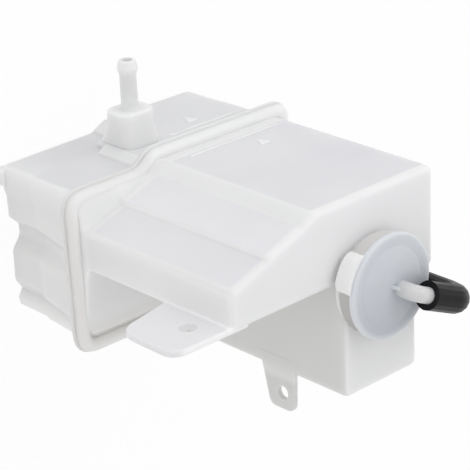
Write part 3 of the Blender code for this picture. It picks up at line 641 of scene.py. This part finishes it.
def cylinder(name, radius, start, end):
    """A plain round bar from start to end."""
    start = Vector(start)
    along = Vector(end) - start
    shape = bmesh.new()
    bmesh.ops.create_cone(
        shape, cap_ends=True, segments=SMALL_TURN_STEPS, radius1=radius, radius2=radius, depth=along.length)
    made = object_from_bmesh(name, shape)
    turn = along.to_track_quat("Z", "Y").to_matrix().to_4x4()
    made.data.transform(Matrix.Translation(start + along / 2) @ turn)
    return made


def pipe(name, route, radius, resolution):
    """A round bar along a route of points, from a curve with a bevel depth and filled caps."""
    curve = bpy.data.curves.new(name, "CURVE")
    curve.dimensions = "3D"
    curve.bevel_depth = radius
    curve.bevel_resolution = resolution
    curve.use_fill_caps = True
    spline = curve.splines.new("POLY")
    spline.points.add(len(route) - 1)
    for target, point in zip(spline.points, route):
        target.co = (*point, 1.0)
    return mesh_from_curve(name, curve)


def plate(name, outline, thickness, edge_round, place):
    """A flat plate from a filled 2D curve, its middle plane at the place's XY plane."""
    curve = bpy.data.curves.new(name, "CURVE")
    curve.dimensions = "2D"
    curve.fill_mode = "BOTH"
    curve.extrude = thickness / 2 - edge_round
    curve.bevel_depth = edge_round
    curve.bevel_resolution = 1
    curve.offset = -edge_round
    spline = curve.splines.new("POLY")
    spline.points.add(len(outline) - 1)
    for target, point in zip(spline.points, outline):
        target.co = (point.x, point.y, 0.0, 1.0)
    spline.use_cyclic_u = True
    made = mesh_from_curve(name, curve)
    made.data.transform(place)
    return made


def mesh_from_curve(name, curve):
    """Turns a curve into a welded mesh."""
    source = placed(name + "_curve", curve)
    graph = bpy.context.evaluated_depsgraph_get()
    mesh = bpy.data.meshes.new_from_object(source.evaluated_get(graph))
    bpy.data.objects.remove(source, do_unlink=True)
    shape = bmesh.new()
    shape.from_mesh(mesh)
    bmesh.ops.remove_doubles(shape, verts=shape.verts, dist=MERGE)
    bpy.data.meshes.remove(mesh)
    return object_from_bmesh(name, shape)


def combine(target, tool, operation):
    """Joins the tool to the target, or cuts it away, and removes the tool."""
    modifier = target.modifiers.new(tool.name, "BOOLEAN")
    modifier.operation = operation
    modifier.solver = "EXACT"
    modifier.object = tool
    graph = bpy.context.evaluated_depsgraph_get()
    mesh = bpy.data.meshes.new_from_object(target.evaluated_get(graph))
    target.modifiers.clear()
    target.data = mesh
    bpy.data.objects.remove(tool, do_unlink=True)


def join(target, *tools):
    for tool in tools:
        combine(target, tool, "UNION")


def cut(target, *tools):
    for tool in tools:
        combine(target, tool, "DIFFERENCE")


# Tank sections, anticlockwise seen from above

def upper_section(crease):
    """Corners and cuts of the upper body, with a crease of this height across the shelf."""
    slope = (STEP_FOOT_Y - SHELF_FRONT_Y) / (SHELF_X - STEP_FOOT_X)
    before = SHELF_FRONT_Y + slope * (SHELF_X - CREASE_X + CREASE_HALF)
    after = SHELF_FRONT_Y + slope * (SHELF_X - CREASE_X - CREASE_HALF)
    recess_x = CAP_SIDE_X + RECESS_DEPTH
    rows = [
        (INNER_WALL_X, SHELF_FLOOR_Y, 0.0040),
        (INNER_WALL_X, BACK_Y, 0.0040),
        (recess_x, BACK_Y, 0.0040),
        (recess_x, RECESS_Y + RECESS_SLANT, 0.0030),
        (CAP_SIDE_X, RECESS_Y, 0.0040),
        (CAP_SIDE_X, FACE_Y, 0.0045),
        (STEP_TOP_X, FACE_Y, 0.0008),
        (STEP_FOOT_X, STEP_FOOT_Y, 0.0008),
        (CREASE_X - CREASE_HALF, before - crease / 2, 0.0004),
        (CREASE_X + CREASE_HALF, after + crease / 2, 0.0004),
        (SHELF_X, SHELF_FRONT_Y, 0.0040),
        (SHELF_X, SHELF_FLOOR_Y, WALL - TAB_STEP),
    ]
    return corners_and_cuts(rows)


def mouth_section():
    """Corners and cuts of the mouth, one for each corner of the upper body, in the same order."""
    rows = [
        (MOUTH_FLOOR_X, MOUTH_FLOOR_Y, 0.0060),
        (MOUTH_BACK_X, BACK_Y, 0.0060),
        (CAP_SIDE_X + MOUTH_SIDE_TAPER, BACK_Y, 0.0070),
        (CAP_SIDE_X + MOUTH_SIDE_TAPER / 3, RECESS_Y + RECESS_DEPTH, 0.0030),
        (CAP_SIDE_X, RECESS_Y, 0.0030),
        (CAP_SIDE_X, FACE_Y, 0.0055),
        (MOUTH_STEP_TOP_X, FACE_Y, 0.0012),
        (MOUTH_STEP_FOOT_X, DECK_Y, 0.0012),
        (CREASE_X - CREASE_HALF, DECK_Y, 0.0005),
        (CREASE_X + CREASE_HALF, DECK_Y, 0.0005),
        (SHELF_X, DECK_Y, 0.0070),
        (SHELF_X, MOUTH_FLOOR_Y, 0.0080),
    ]
    return corners_and_cuts(rows)


def lower_section(drop):
    """Corners and cuts of the lower body; drop 0 is the mouth, 1 the deeper grooves, 2 the base."""
    corners = []
    for mouth, middle, base, _ in LOWER_STATIONS:
        low, high = (mouth, middle) if drop <= 1 else (middle, base)
        share = drop if drop <= 1 else drop - 1
        corners.append(Vector(low).lerp(Vector(high), share))
    return corners, [row[3] for row in LOWER_STATIONS]


def flange_outline(inset=0.0):
    """Free edge of the weld flange, moved in by the inset."""
    rows = [
        (SHELF_X + LIP_FRONT, MOUTH_FLOOR_Y + LIP_FLOOR, 0.0110),
        (MOUTH_FLOOR_X + LIP_BACK, MOUTH_FLOOR_Y + LIP_FLOOR, 0.0060),
        (MOUTH_BACK_X + LIP_BACK, BACK_Y + LIP_BACK, 0.0060),
        (CAP_SIDE_X + MOUTH_SIDE_TAPER - LIP_SIDE, BACK_Y + LIP_BACK, 0.0110),
        (CAP_SIDE_X - LIP_SIDE, FACE_Y - LIP_FACE, 0.0100),
        (MOUTH_STEP_TOP_X + LIP_FACE / 4, FACE_Y - LIP_FACE, 0.0050),
        (MOUTH_STEP_FOOT_X + LIP_FACE / 2, DECK_Y - LIP_DECK, 0.0060),
        (SHELF_X + LIP_FRONT_DECK, DECK_Y - LIP_DECK, 0.0110),
    ]
    corners, cuts = corners_and_cuts(rows)
    return rounded(inset_corners(corners, inset), inner_cuts(corners, cuts, inset))


def lower_flange(name, split):
    """Lower half of the weld flange, rounded on its free edge."""
    edge = FLANGE_HALF * 0.75
    rings = [at_height(flange_outline(), split)]
    for step in range(ROUND_STEPS + 1):
        angle = math.pi / 2 * step / ROUND_STEPS
        height = split - FLANGE_HALF + edge * (1 - math.sin(angle))
        rings.append(at_height(flange_outline(edge * (1 - math.cos(angle))), height))
    return loft(name, rings)


def upper_flange(name, split):
    """Upper half of the weld flange: a rounded rim, and a shallow groove between it and the body."""
    rings = [at_height(flange_outline(), split)]
    for step in range(2 * ROUND_STEPS + 1):
        angle = math.pi / 2 * step / ROUND_STEPS
        foot = RIM_EDGE if step <= ROUND_STEPS else FLANGE_HALF - RIM_GROOVE
        height = split + foot + (RIM_HEIGHT - foot) * math.sin(angle)
        rings.append(at_height(flange_outline(RIM_WIDTH / 2 * (1 - math.cos(angle))), height))
    return loft(name, rings)


def upper_rings(inset, mouth_height, top_height, edge):
    """Rings of the upper body from its mouth to its top, moved in by the inset."""
    mouth, mouth_cuts = mouth_section()
    body, body_cuts = upper_section(0.0 if inset > 0 else CREASE_RISE)
    shoulder = WELD_HEIGHT + WELD_GAP + FLANGE_HALF - inset
    rings = []
    if mouth_height < shoulder:
        rings.append(blended_ring(mouth, body, mouth_cuts, body_cuts, 0.0, inset, mouth_height))
    for share, rise in SHOULDER:
        height = shoulder + SHOULDER_RISE * rise
        rings.append(blended_ring(mouth, body, mouth_cuts, body_cuts, share, inset, height))
    for step in range(ROUND_STEPS + 1):
        angle = math.pi / 2 * step / ROUND_STEPS
        height = top_height - edge * (1 - math.sin(angle))
        pulled = inset + edge * (1 - math.cos(angle))
        rings.append(blended_ring(mouth, body, mouth_cuts, body_cuts, 1.0, pulled, height))
    return rings


def blended_ring(low, high, low_cuts, high_cuts, share, inset, height):
    corners = [a.lerp(b, share) for a, b in zip(low, high)]
    cuts = [a + (b - a) * share for a, b in zip(low_cuts, high_cuts)]
    if inset > 0:
        cuts = inner_cuts(corners, cuts, inset)
    return at_height(rounded(inset_corners(corners, inset), cuts), height)


def lower_rings(inset, mouth_height, base_height, edge):
    """Rings of the lower body from its mouth down to its base, moved in by the inset."""
    rings = []
    for drop, share in LOWER_DROPS:
        height = mouth_height + (base_height - mouth_height) * share
        rings.append(lower_ring(drop, inset, height, inset > 0))
    for step in range(ROUND_STEPS + 1):
        angle = math.pi / 2 * step / ROUND_STEPS
        height = base_height + edge * (1 - math.sin(angle))
        rings.append(lower_ring(2.0, inset + edge * (1 - math.cos(angle)), height, inset > 0))
    return rings


def lower_ring(drop, inset, height, hollow):
    corners, cuts = lower_section(drop)
    if hollow:
        # The inside has no rib beyond the last groove, so the last two corners become one
        groove, _, floor = corners[-3:]
        corners = corners[:-2] + [Vector((groove.x, floor.y))]
        cuts = cuts[:-1]
    if inset > 0:
        cuts = inner_cuts(corners, cuts, inset)
    return at_height(rounded(inset_corners(corners, inset), cuts), height)


# Lower moulding

def boss_ring(across, along, height, spread=0.0):
    """One ring of the nipple boss at a height above the marked face."""
    left = BOSS_X - across / 2 - spread * BOSS_FLARE_LEFT
    right = BOSS_X + across / 2 + spread * BOSS_FLARE_RIGHT
    low = BOSS_HEIGHT - along / 2 - spread * BOSS_FLARE_DOWN
    high = BOSS_HEIGHT + along / 2 + spread * BOSS_FLARE_UP
    corners = [Vector(corner) for corner in ((left, low), (right, low), (right, high), (left, high))]
    outline = rounded(corners, [BOSS_CORNER * min(across, along)] * 4)
    return [Vector((point.x, FACE_Y - height, point.y)) for point in outline]


def boss_solid(name, inset):
    """The boss, with a flared foot that sweeps down into the deck."""
    across = BOSS_WIDTH_X - 2 * inset
    along = BOSS_WIDTH_Z - 2 * inset
    rings = [boss_ring(across, along, height - inset, spread) for height, spread in BOSS_FLARE]
    rings.append(boss_ring(across, along, BOSS_STAND - inset - BOSS_EDGE_DROP))
    rings.append(boss_ring(across - BOSS_EDGE_IN, along - BOSS_EDGE_IN, BOSS_STAND - inset))
    return loft(name, rings)


def nipple(name):
    """Hose nipple on the boss, with a swollen tip that keeps the hose on."""
    foot = -BOSS_WALL / 2
    profile = [
        (0.0, foot),
        (NIPPLE_RADIUS + FILLET_OUT, foot),
        (NIPPLE_RADIUS + FILLET_OUT, 0.0),
        (NIPPLE_RADIUS, FILLET_UP),
        (NIPPLE_RADIUS - NIPPLE_DRAFT, NIPPLE_LENGTH * 0.70),
        (NIPPLE_RADIUS + NIPPLE_BARB, NIPPLE_LENGTH * 0.80),
        (NIPPLE_RADIUS + NIPPLE_BARB, NIPPLE_LENGTH * 0.86),
        (NIPPLE_RADIUS, NIPPLE_LENGTH - TIP_CUT),
        (NIPPLE_RADIUS - TIP_CUT, NIPPLE_LENGTH),
        (0.0, NIPPLE_LENGTH),
    ]
    centre = Vector((BOSS_X, FACE_Y - BOSS_STAND, BOSS_HEIGHT))
    return turned(name, profile, SMALL_TURN_STEPS, centre, math.pi / 2)


def corner_lip(name):
    """Small lip at the foot of the front corner, where the groove ends."""
    near, far = CORNER_LIP_SPAN
    _, _, base_corner, _ = LOWER_STATIONS[6]
    root = base_corner[0] - WALL
    rings = []
    for height, stand in [(CORNER_LIP_EDGE, CORNER_LIP_STAND), (CORNER_LIP_RISE, CORNER_LIP_STAND / 2)]:
        tip = base_corner[0] + stand
        outline = ((root, near), (tip, near + CORNER_LIP_STAND), (tip, far - CORNER_LIP_STAND), (root, far))
        rings.append([Vector((*corner, height)) for corner in outline])
    return loft(name, rings)


def make_lower_shell():
    mouth = WELD_HEIGHT - WELD_GAP
    body = loft("lower_body", lower_rings(0.0, mouth - FLANGE_HALF / 3, 0.0, BASE_EDGE))
    join(
        body,
        lower_flange("lower_flange", mouth),
        boss_solid("boss", 0.0),
        nipple("nipple"),
        corner_lip("corner_lip"))
    hollow = lower_rings(WALL, mouth + WALL, WALL, HOLLOW_EDGE)
    cut(
        body,
        loft("lower_hollow", hollow),
        boss_solid("boss_hollow", BOSS_WALL),
        cylinder(
            "nipple_bore", NIPPLE_BORE,
            (BOSS_X, FACE_Y - BOSS_STAND + 2 * BOSS_WALL, BOSS_HEIGHT),
            (BOSS_X, FACE_Y - BOSS_STAND - NIPPLE_LENGTH - WALL, BOSS_HEIGHT)))
    return body


# Upper moulding

def front_tab(name):
    """Fixing tab in the plane of the shelf's floor; the outline is drawn in X and Z."""
    top = TANK_HEIGHT - TAB_DROP
    low = top - TAB_WIDTH
    tip = SHELF_X + TAB_REACH
    corners, cuts = corners_and_cuts([
        (SHELF_X - TAB_ROOT, low - TAB_ROOT_SPREAD, 0.0020),
        (SHELF_X - 0.0010, low - TAB_ROOT_SPREAD, 0.0030),
        (SHELF_X + 0.0020, low + 0.0006, 0.0030),
        (tip - 0.0005, low + 0.0070, 0.0085),
        (tip, top, 0.0085),
        (SHELF_X + 0.0020, top, 0.0040),
        (SHELF_X - TAB_ROOT, top, 0.0020),
    ])
    tab_y = SHELF_FLOOR_Y - WALL + TAB_THICKNESS / 2
    place = Matrix.Translation((0, tab_y, 0)) @ Matrix.Rotation(math.pi / 2, 4, "X")
    tab = plate(name, rounded(corners, cuts), TAB_THICKNESS, TAB_EDGE, place)
    hole = Vector((SHELF_X + TAB_HOLE_OUT, tab_y, TANK_HEIGHT - TAB_HOLE_DOWN))
    reach = Vector((0, 2 * TAB_THICKNESS, 0))
    cut(tab, cylinder("front_tab_hole", TAB_HOLE_RADIUS, hole - reach, hole + reach))
    return tab


def back_tab(name):
    """Fixing tab that carries the inner wall on past the back; the outline is drawn in Y and Z."""
    tip = BACK_Y + BACK_TAB_REACH
    root = BACK_Y - BACK_TAB_ROOT
    corners, cuts = corners_and_cuts([
        (root, BACK_TAB_LOW - 0.0020, 0.0020),
        (tip, BACK_TAB_LOW + 0.0042, 0.0035),
        (tip, BACK_TAB_HIGH, 0.0050),
        (root, BACK_TAB_HIGH + 0.0010, 0.0020),
    ])
    turn = Matrix(((0, 0, 1, 0), (1, 0, 0, 0), (0, 1, 0, 0), (0, 0, 0, 1)))
    tab_x = INNER_WALL_X - WALL / 2 + BACK_TAB_SHIFT
    place = Matrix.Translation((tab_x, 0, 0)) @ turn
    tab = plate(name, rounded(corners, cuts), WALL, BACK_TAB_EDGE, place)
    hole = Vector((tab_x, BACK_Y + BACK_TAB_HOLE_OUT, BACK_TAB_HOLE_HEIGHT))
    reach = Vector((2 * WALL, 0, 0))
    cut(tab, cylinder("back_tab_hole", BACK_TAB_HOLE_RADIUS, hole - reach, hole + reach))
    return tab


def throat_radius():
    """Radius of the hole below the neck, kept clear of the inner wall that the neck overhangs."""
    return min(NECK_RADIUS - NECK_WALL - THROAT_STEP, INNER_WALL_X - THROAT_WALL - NECK_X)


def neck_bore(name):
    """The neck's bore, stepped in to the narrower throat through the tank's top."""
    bore = NECK_RADIUS - NECK_WALL
    profile = [
        (0.0, -2 * WALL),
        (throat_radius(), -2 * WALL),
        (throat_radius(), NECK_FLOOR),
        (bore, NECK_FLOOR),
        (bore, NECK_HEIGHT + WALL),
        (0.0, NECK_HEIGHT + WALL),
    ]
    return turned(name, profile, TURN_STEPS, cap_axis(TANK_HEIGHT))


def filler_neck(name):
    """Short neck round the filler hole, with a low bead that the cap snaps over."""
    profile = [
        (0.0, -WALL / 2),
        (NECK_RADIUS + FILLET_OUT, -WALL / 2),
        (NECK_RADIUS + FILLET_OUT, 0.0),
        (NECK_RADIUS, FILLET_UP),
        (NECK_RADIUS, NECK_BEAD_HEIGHT - NECK_BEAD_HALF),
        (NECK_RADIUS + NECK_BEAD, NECK_BEAD_HEIGHT),
        (NECK_RADIUS, NECK_BEAD_HEIGHT + NECK_BEAD_HALF),
        (NECK_RADIUS, NECK_HEIGHT - TIP_CUT),
        (NECK_RADIUS - TIP_CUT, NECK_HEIGHT),
        (0.0, NECK_HEIGHT),
    ]
    return turned(name, profile, TURN_STEPS, cap_axis(TANK_HEIGHT))


def make_upper_shell():
    mouth = WELD_HEIGHT + WELD_GAP
    body = loft("upper_body", upper_rings(0.0, mouth + FLANGE_HALF / 3, TANK_HEIGHT, TOP_EDGE))
    join(
        body,
        back_tab("back_tab"),
        front_tab("front_tab"),
        filler_neck("filler_neck"),
        upper_flange("upper_flange", mouth))
    hollow = upper_rings(WALL, mouth - WALL, TANK_HEIGHT - WALL, HOLLOW_EDGE)
    cut(body, loft("upper_hollow", hollow), neck_bore("neck_bore"))
    return body


# Filler cap and vent elbow

def disc_underside():
    return TANK_HEIGHT + NECK_HEIGHT + FIT_GAP + SEAL_THICKNESS + FIT_GAP


def disc_top():
    return disc_underside() + DISC_THICKNESS


def cap_axis(height):
    return Vector((NECK_X, NECK_Y, height))


def vent_direction():
    angle = math.radians(VENT_ANGLE)
    return Vector((math.cos(angle), math.sin(angle), 0.0))


def cap_body(name):
    """Disc with a shallow raised panel, an outer skirt over the neck and a plug inside it."""
    under = disc_underside()
    top = disc_top()
    skirt_in = NECK_RADIUS + CAP_CLEARANCE
    skirt_out = skirt_in + SKIRT_WALL
    plug_out = NECK_RADIUS - NECK_WALL - FIT_GAP
    plug_in = plug_out - PLUG_WALL
    skirt_low = TANK_HEIGHT + SKIRT_BOTTOM
    plug_low = max(under - PLUG_LENGTH, TANK_HEIGHT + NECK_FLOOR + FIT_GAP)
    profile = [
        (0.0, under),
        (plug_in, under),
        (plug_in, plug_low),
        (plug_out - PLUG_EDGE_IN, plug_low),
        (plug_out, plug_low + PLUG_EDGE_UP),
        (plug_out, under),
        (skirt_in, under),
        (skirt_in, skirt_low + CAP_LIP_HIGH),
        (skirt_in - CAP_LIP, skirt_low + CAP_LIP_LOW),
        (skirt_in, skirt_low),
        (skirt_out, skirt_low),
        (skirt_out, under),
        (DISC_RADIUS - DISC_RIM, under),
        (DISC_RADIUS - DISC_RIM_CUT, under + DISC_RIM_CUT),
        (DISC_RADIUS, under + DISC_RIM),
        (DISC_RADIUS, top - DISC_RIM),
        (DISC_RADIUS - DISC_RIM_CUT, top - DISC_RIM_CUT),
        (DISC_RADIUS - DISC_RIM, top),
        (DISC_PANEL_RADIUS + DISC_PANEL_SLOPE, top - DISC_PANEL_DEPTH),
        (DISC_PANEL_RADIUS, top),
        (0.0, top),
    ]
    return turned(name, profile, TURN_STEPS, cap_axis(0.0))


def pull_lug(name):
    """Lobe on the skirt that a thumb lifts the cap by."""
    inner = NECK_RADIUS + CAP_CLEARANCE + SKIRT_WALL / 2
    outer = NECK_RADIUS + CAP_CLEARANCE + SKIRT_WALL
    low = TANK_HEIGHT + SKIRT_BOTTOM
    high = disc_underside() + DISC_THICKNESS / 2
    rows = []
    for step in range(PULL_LUG_STEPS + 1):
        share = 2 * step / PULL_LUG_STEPS - 1
        angle = math.radians(PULL_LUG_ANGLE + share * PULL_LUG_SPREAD / 2)
        stand = (PULL_LUG_RADIUS - outer) * (1 - share ** PULL_LUG_SQUARE)
        rows.append((angle, outer - SKIRT_WALL / 8 + stand))
    inside = [(angle, inner) for angle, _ in reversed(rows)]
    outline = [Vector((radius * math.cos(a), radius * math.sin(a))) for a, radius in rows + inside]
    rings = [at_height([Vector((NECK_X, NECK_Y)) + p for p in outline], height) for height in (low, high)]
    return loft(name, rings)


def stub_route(extra=0.0):
    """Centre line of the vent stub: up from the disc, round a bend, then out along the vent direction."""
    out = vent_direction()
    rise = Vector((0, 0, 1))
    start = cap_axis(disc_top()) + out * STUB_OFFSET
    corner = start + rise * STUB_RISE
    points = [start - rise * (DISC_THICKNESS / 2 + extra)]
    for step in range(ROUND_STEPS * 2 + 1):
        angle = math.pi / 2 * step / (ROUND_STEPS * 2)
        points.append(
            corner - rise * STUB_BEND + out * STUB_BEND
            + rise * STUB_BEND * math.sin(angle) - out * STUB_BEND * math.cos(angle))
    points.append(cap_axis(corner.z) + out * (STUB_TIP + extra))
    return points


def gusset(name):
    """Thin web that ties the stub to the disc on the side away from the bend."""
    out = vent_direction()
    side = Vector((-out.y, out.x, 0.0)) * (GUSSET_THICKNESS / 2)
    low = disc_top() - DISC_PANEL_DEPTH
    corners = [
        cap_axis(low) - out * GUSSET_TOE,
        cap_axis(low) + out * STUB_OFFSET,
        cap_axis(low + GUSSET_HIGH) + out * STUB_OFFSET,
        cap_axis(low + GUSSET_LOW) + out * (STUB_OFFSET - GUSSET_HEEL),
    ]
    return loft(name, [[corner - side for corner in corners], [corner + side for corner in corners]])


def make_filler_cap():
    cap = cap_body("cap_body")
    join(
        cap,
        pull_lug("pull_lug"),
        pipe("stub", stub_route(), STUB_RADIUS, PIPE_ROUND),
        gusset("gusset"))
    cut(cap, pipe("stub_bore", stub_route(DISC_THICKNESS * 2), STUB_BORE, STUB_BORE_ROUND))
    return cap


def elbow_route(start, drop):
    """Centre line of the rubber elbow: out over the edge of the cap, then down the side recess."""
    out = vent_direction()
    rise = Vector((0, 0, 1))
    height = disc_top() + STUB_RISE
    turn = cap_axis(height) + out * (ELBOW_REACH - ELBOW_BEND) - rise * ELBOW_BEND
    points = [cap_axis(height) + out * start]
    steps = ROUND_STEPS * 3
    for step in range(steps + 1):
        angle = math.pi / 2 * step / steps
        points.append(turn + out * ELBOW_BEND * math.sin(angle) + rise * ELBOW_BEND * math.cos(angle))
    points.append(cap_axis(height - drop) + out * ELBOW_REACH)
    return points


def make_vent_elbow():
    elbow = pipe("elbow", elbow_route(ELBOW_START, ELBOW_DROP), ELBOW_RADIUS, PIPE_ROUND)
    bore_route = elbow_route(ELBOW_START - ELBOW_RADIUS, ELBOW_DROP + ELBOW_RADIUS)
    cut(elbow, pipe("elbow_bore", bore_route, STUB_RADIUS + FIT_GAP, ELBOW_BORE_ROUND))
    return elbow


# Trim that only the scene has

def swept(name, points, radius, sides, material):
    """A tube round a closed path, made by Geometry Nodes."""
    path = bpy.data.meshes.new(name)
    path.from_pydata(points, [(i, (i + 1) % len(points)) for i in range(len(points))], [])
    made = placed(name, path)
    tree = bpy.data.node_groups.new(name + "_sweep", "GeometryNodeTree")
    face = tree.interface
    face.new_socket("Geometry", in_out="INPUT", socket_type="NodeSocketGeometry")
    radius_socket = face.new_socket("Radius", in_out="INPUT", socket_type="NodeSocketFloat")
    sides_socket = face.new_socket("Sides", in_out="INPUT", socket_type="NodeSocketInt")
    face.new_socket("Geometry", in_out="OUTPUT", socket_type="NodeSocketGeometry")
    start = tree.nodes.new("NodeGroupInput")
    to_curve = tree.nodes.new("GeometryNodeMeshToCurve")
    ring = tree.nodes.new("GeometryNodeCurvePrimitiveCircle")
    sweep = tree.nodes.new("GeometryNodeCurveToMesh")
    real = tree.nodes.new("GeometryNodeRealizeInstances")
    paint = tree.nodes.new("GeometryNodeSetMaterial")
    end = tree.nodes.new("NodeGroupOutput")
    paint.inputs["Material"].default_value = material
    for source, output, target, entry in (
            (start, "Geometry", to_curve, "Mesh"),
            (start, "Radius", ring, "Radius"),
            (start, "Sides", ring, "Resolution"),
            (to_curve, "Curve", sweep, "Curve"),
            (ring, "Curve", sweep, "Profile Curve"),
            (sweep, "Mesh", real, "Geometry"),
            (real, "Geometry", paint, "Geometry"),
            (paint, "Geometry", end, "Geometry")):
        tree.links.new(source.outputs[output], target.inputs[entry])
    modifier = made.modifiers.new("sweep", "NODES")
    modifier.node_group = tree
    modifier[radius_socket.identifier] = radius
    modifier[sides_socket.identifier] = sides
    return realised(made)


def realised(made):
    """Turns a Geometry Nodes result into a plain mesh and takes its modifier off."""
    graph = bpy.context.evaluated_depsgraph_get()
    mesh = bpy.data.meshes.new_from_object(made.evaluated_get(graph))
    made.modifiers.clear()
    made.data = mesh
    shape = bmesh.new()
    shape.from_mesh(mesh)
    bmesh.ops.remove_doubles(shape, verts=shape.verts, dist=MERGE)
    bmesh.ops.recalc_face_normals(shape, faces=shape.faces)
    shape.to_mesh(mesh)
    shape.free()
    mesh.shade_smooth()
    return made


def weld_seam(material):
    """The squeezed-out bead that fuses the two halves of the flange."""
    path = at_height(flange_outline(SEAM_INSET), WELD_HEIGHT)
    return swept("weld_seam", path, SEAM_RADIUS, SEAM_SIDES, material)


def raised_mark(name, corners):
    """A low pad on the marked face, with sloped edges."""
    outline = [Vector(corner) for corner in corners]
    rings = []
    for inset, height in ((0.0, -MARK_RISE), (0.0, MARK_FOOT), (MARK_SLOPE, MARK_RISE)):
        rings.append([Vector((p.x, FACE_Y - height, p.y)) for p in inset_corners(outline, inset)])
    return loft(name, rings)


def level_line(name, left, right, height):
    low = height - MARK_WIDTH / 2
    high = height + MARK_WIDTH / 2
    return raised_mark(name, ((left, low), (right, low), (right, high), (left, high)))


def level_arrow(name, tip_x, tip_z):
    half = ARROW_SIZE / 2
    top = tip_z + ARROW_SIZE
    return raised_mark(name, ((tip_x, tip_z), (tip_x + half, top), (tip_x - half, top)))


def dress(piece, name, material, body, node):
    """Names a piece, paints it, ties it to its body and hides the CAD node it stands for, if any."""
    piece.name = name
    piece.data.name = name
    piece.data.materials.clear()
    piece.data.materials.append(material)
    piece.data.shade_smooth()
    piece.data.set_sharp_from_angle(angle=math.radians(SHARP_ANGLE))
    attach(piece, body)
    if node:
        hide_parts(node)


natural = tank_plastic("natural_polypropylene")
cap_finish = cap_plastic("cap_polyethylene")
black_rubber = rubber("moulded_rubber")

lower = make_lower_shell()
join(lower, level_line("low_line", *LOW_LINE), level_arrow("low_arrow", *LOW_ARROW))
upper = make_upper_shell()
join(upper, level_line("full_line", *FULL_LINE), level_arrow("full_arrow", *FULL_ARROW))
dress(lower, "lower_moulding", natural, "tank", "lower_shell")
dress(upper, "upper_moulding", natural, "tank", "upper_shell")
dress(make_filler_cap(), "push_on_cap", cap_finish, "cap", "filler_cap")
dress(make_vent_elbow(), "rubber_elbow", black_rubber, "cap", "vent_elbow")
dress(weld_seam(natural), "weld_seam", natural, "tank", None)
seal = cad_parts["cap_seal"]
seal.data.materials.clear()
seal.data.materials.append(black_rubber)


# Floor, light and camera

def floor():
    """A plain floor that looks near white to the camera and in reflections, and still takes shadows."""
    mesh = bpy.data.meshes.new("floor")
    signs = [(-1, -1), (1, -1), (1, 1), (-1, 1)]
    corners = [(x * FLOOR_HALF, y * FLOOR_HALF, -FLOOR_DROP) for x, y in signs]
    mesh.from_pydata(corners, [], [(0, 1, 2, 3)])
    made = placed("floor", mesh)
    f = Finish("pale_floor")
    seen = f.node("ShaderNodeLightPath", output="Is Camera Ray")
    seen = seen + f.node("ShaderNodeLightPath", output="Is Glossy Ray")
    seen = seen + f.node("ShaderNodeLightPath", output="Is Transmission Ray")
    shaded = Value(f.tree, f.surface.outputs[0])
    glow = f.node("ShaderNodeEmission")
    blend = f.node("ShaderNodeMixShader", inputs={0: seen.clamped() * FLOOR_GLOW, 1: shaded, 2: glow})
    put(f.tree, f.tree.nodes["Material Output"].inputs["Surface"], blend)
    mesh.materials.append(f.set(Base_Color=FLOOR_PALE, Roughness=0.9))


def soft_lamp(name, place, target, size, watts, colour):
    data = bpy.data.lights.new(name, "AREA")
    data.color = colour
    data.shape = "DISK"
    data.size = size
    data.energy = watts
    lamp = placed(name, data)
    lamp.location = place
    lamp.rotation_mode = "QUATERNION"
    lamp.rotation_quaternion = (Vector(place) - Vector(target)).to_track_quat("Z", "Y")


def surroundings(strength):
    """White to the camera, and a plain light of this strength on everything else."""
    world = bpy.data.worlds.new("studio")
    bpy.context.scene.world = world
    world.use_nodes = True
    tree = world.node_tree
    rays = tree.nodes.new("ShaderNodeLightPath")
    seen = Value(tree, rays.outputs["Is Camera Ray"])
    level = seen * (1.0 - strength) + strength
    put(tree, tree.nodes["Background"].inputs["Strength"], level)
    tree.nodes["Background"].inputs["Color"].default_value = (1.0, 1.0, 1.0, 1.0)


def camera():
    data = bpy.data.cameras.new("photo_camera")
    made = placed("photo_camera", data)
    turn = Matrix((CAMERA_RIGHT, CAMERA_UP, CAMERA_BACK)).transposed().to_4x4()
    made.matrix_world = Matrix.Translation(CAMERA_PLACE) @ turn
    data.sensor_width = SENSOR_WIDTH
    data.lens = SENSOR_WIDTH * FOCAL_PIXELS / FRAME_PIXELS
    data.clip_start = 0.05
    data.clip_end = 20.0
    bpy.context.scene.camera = made


floor()
for lamp in LAMPS:
    soft_lamp(*lamp)
surroundings(SURROUNDINGS)
camera()
bpy.context.scene.view_settings.view_transform = "Standard"
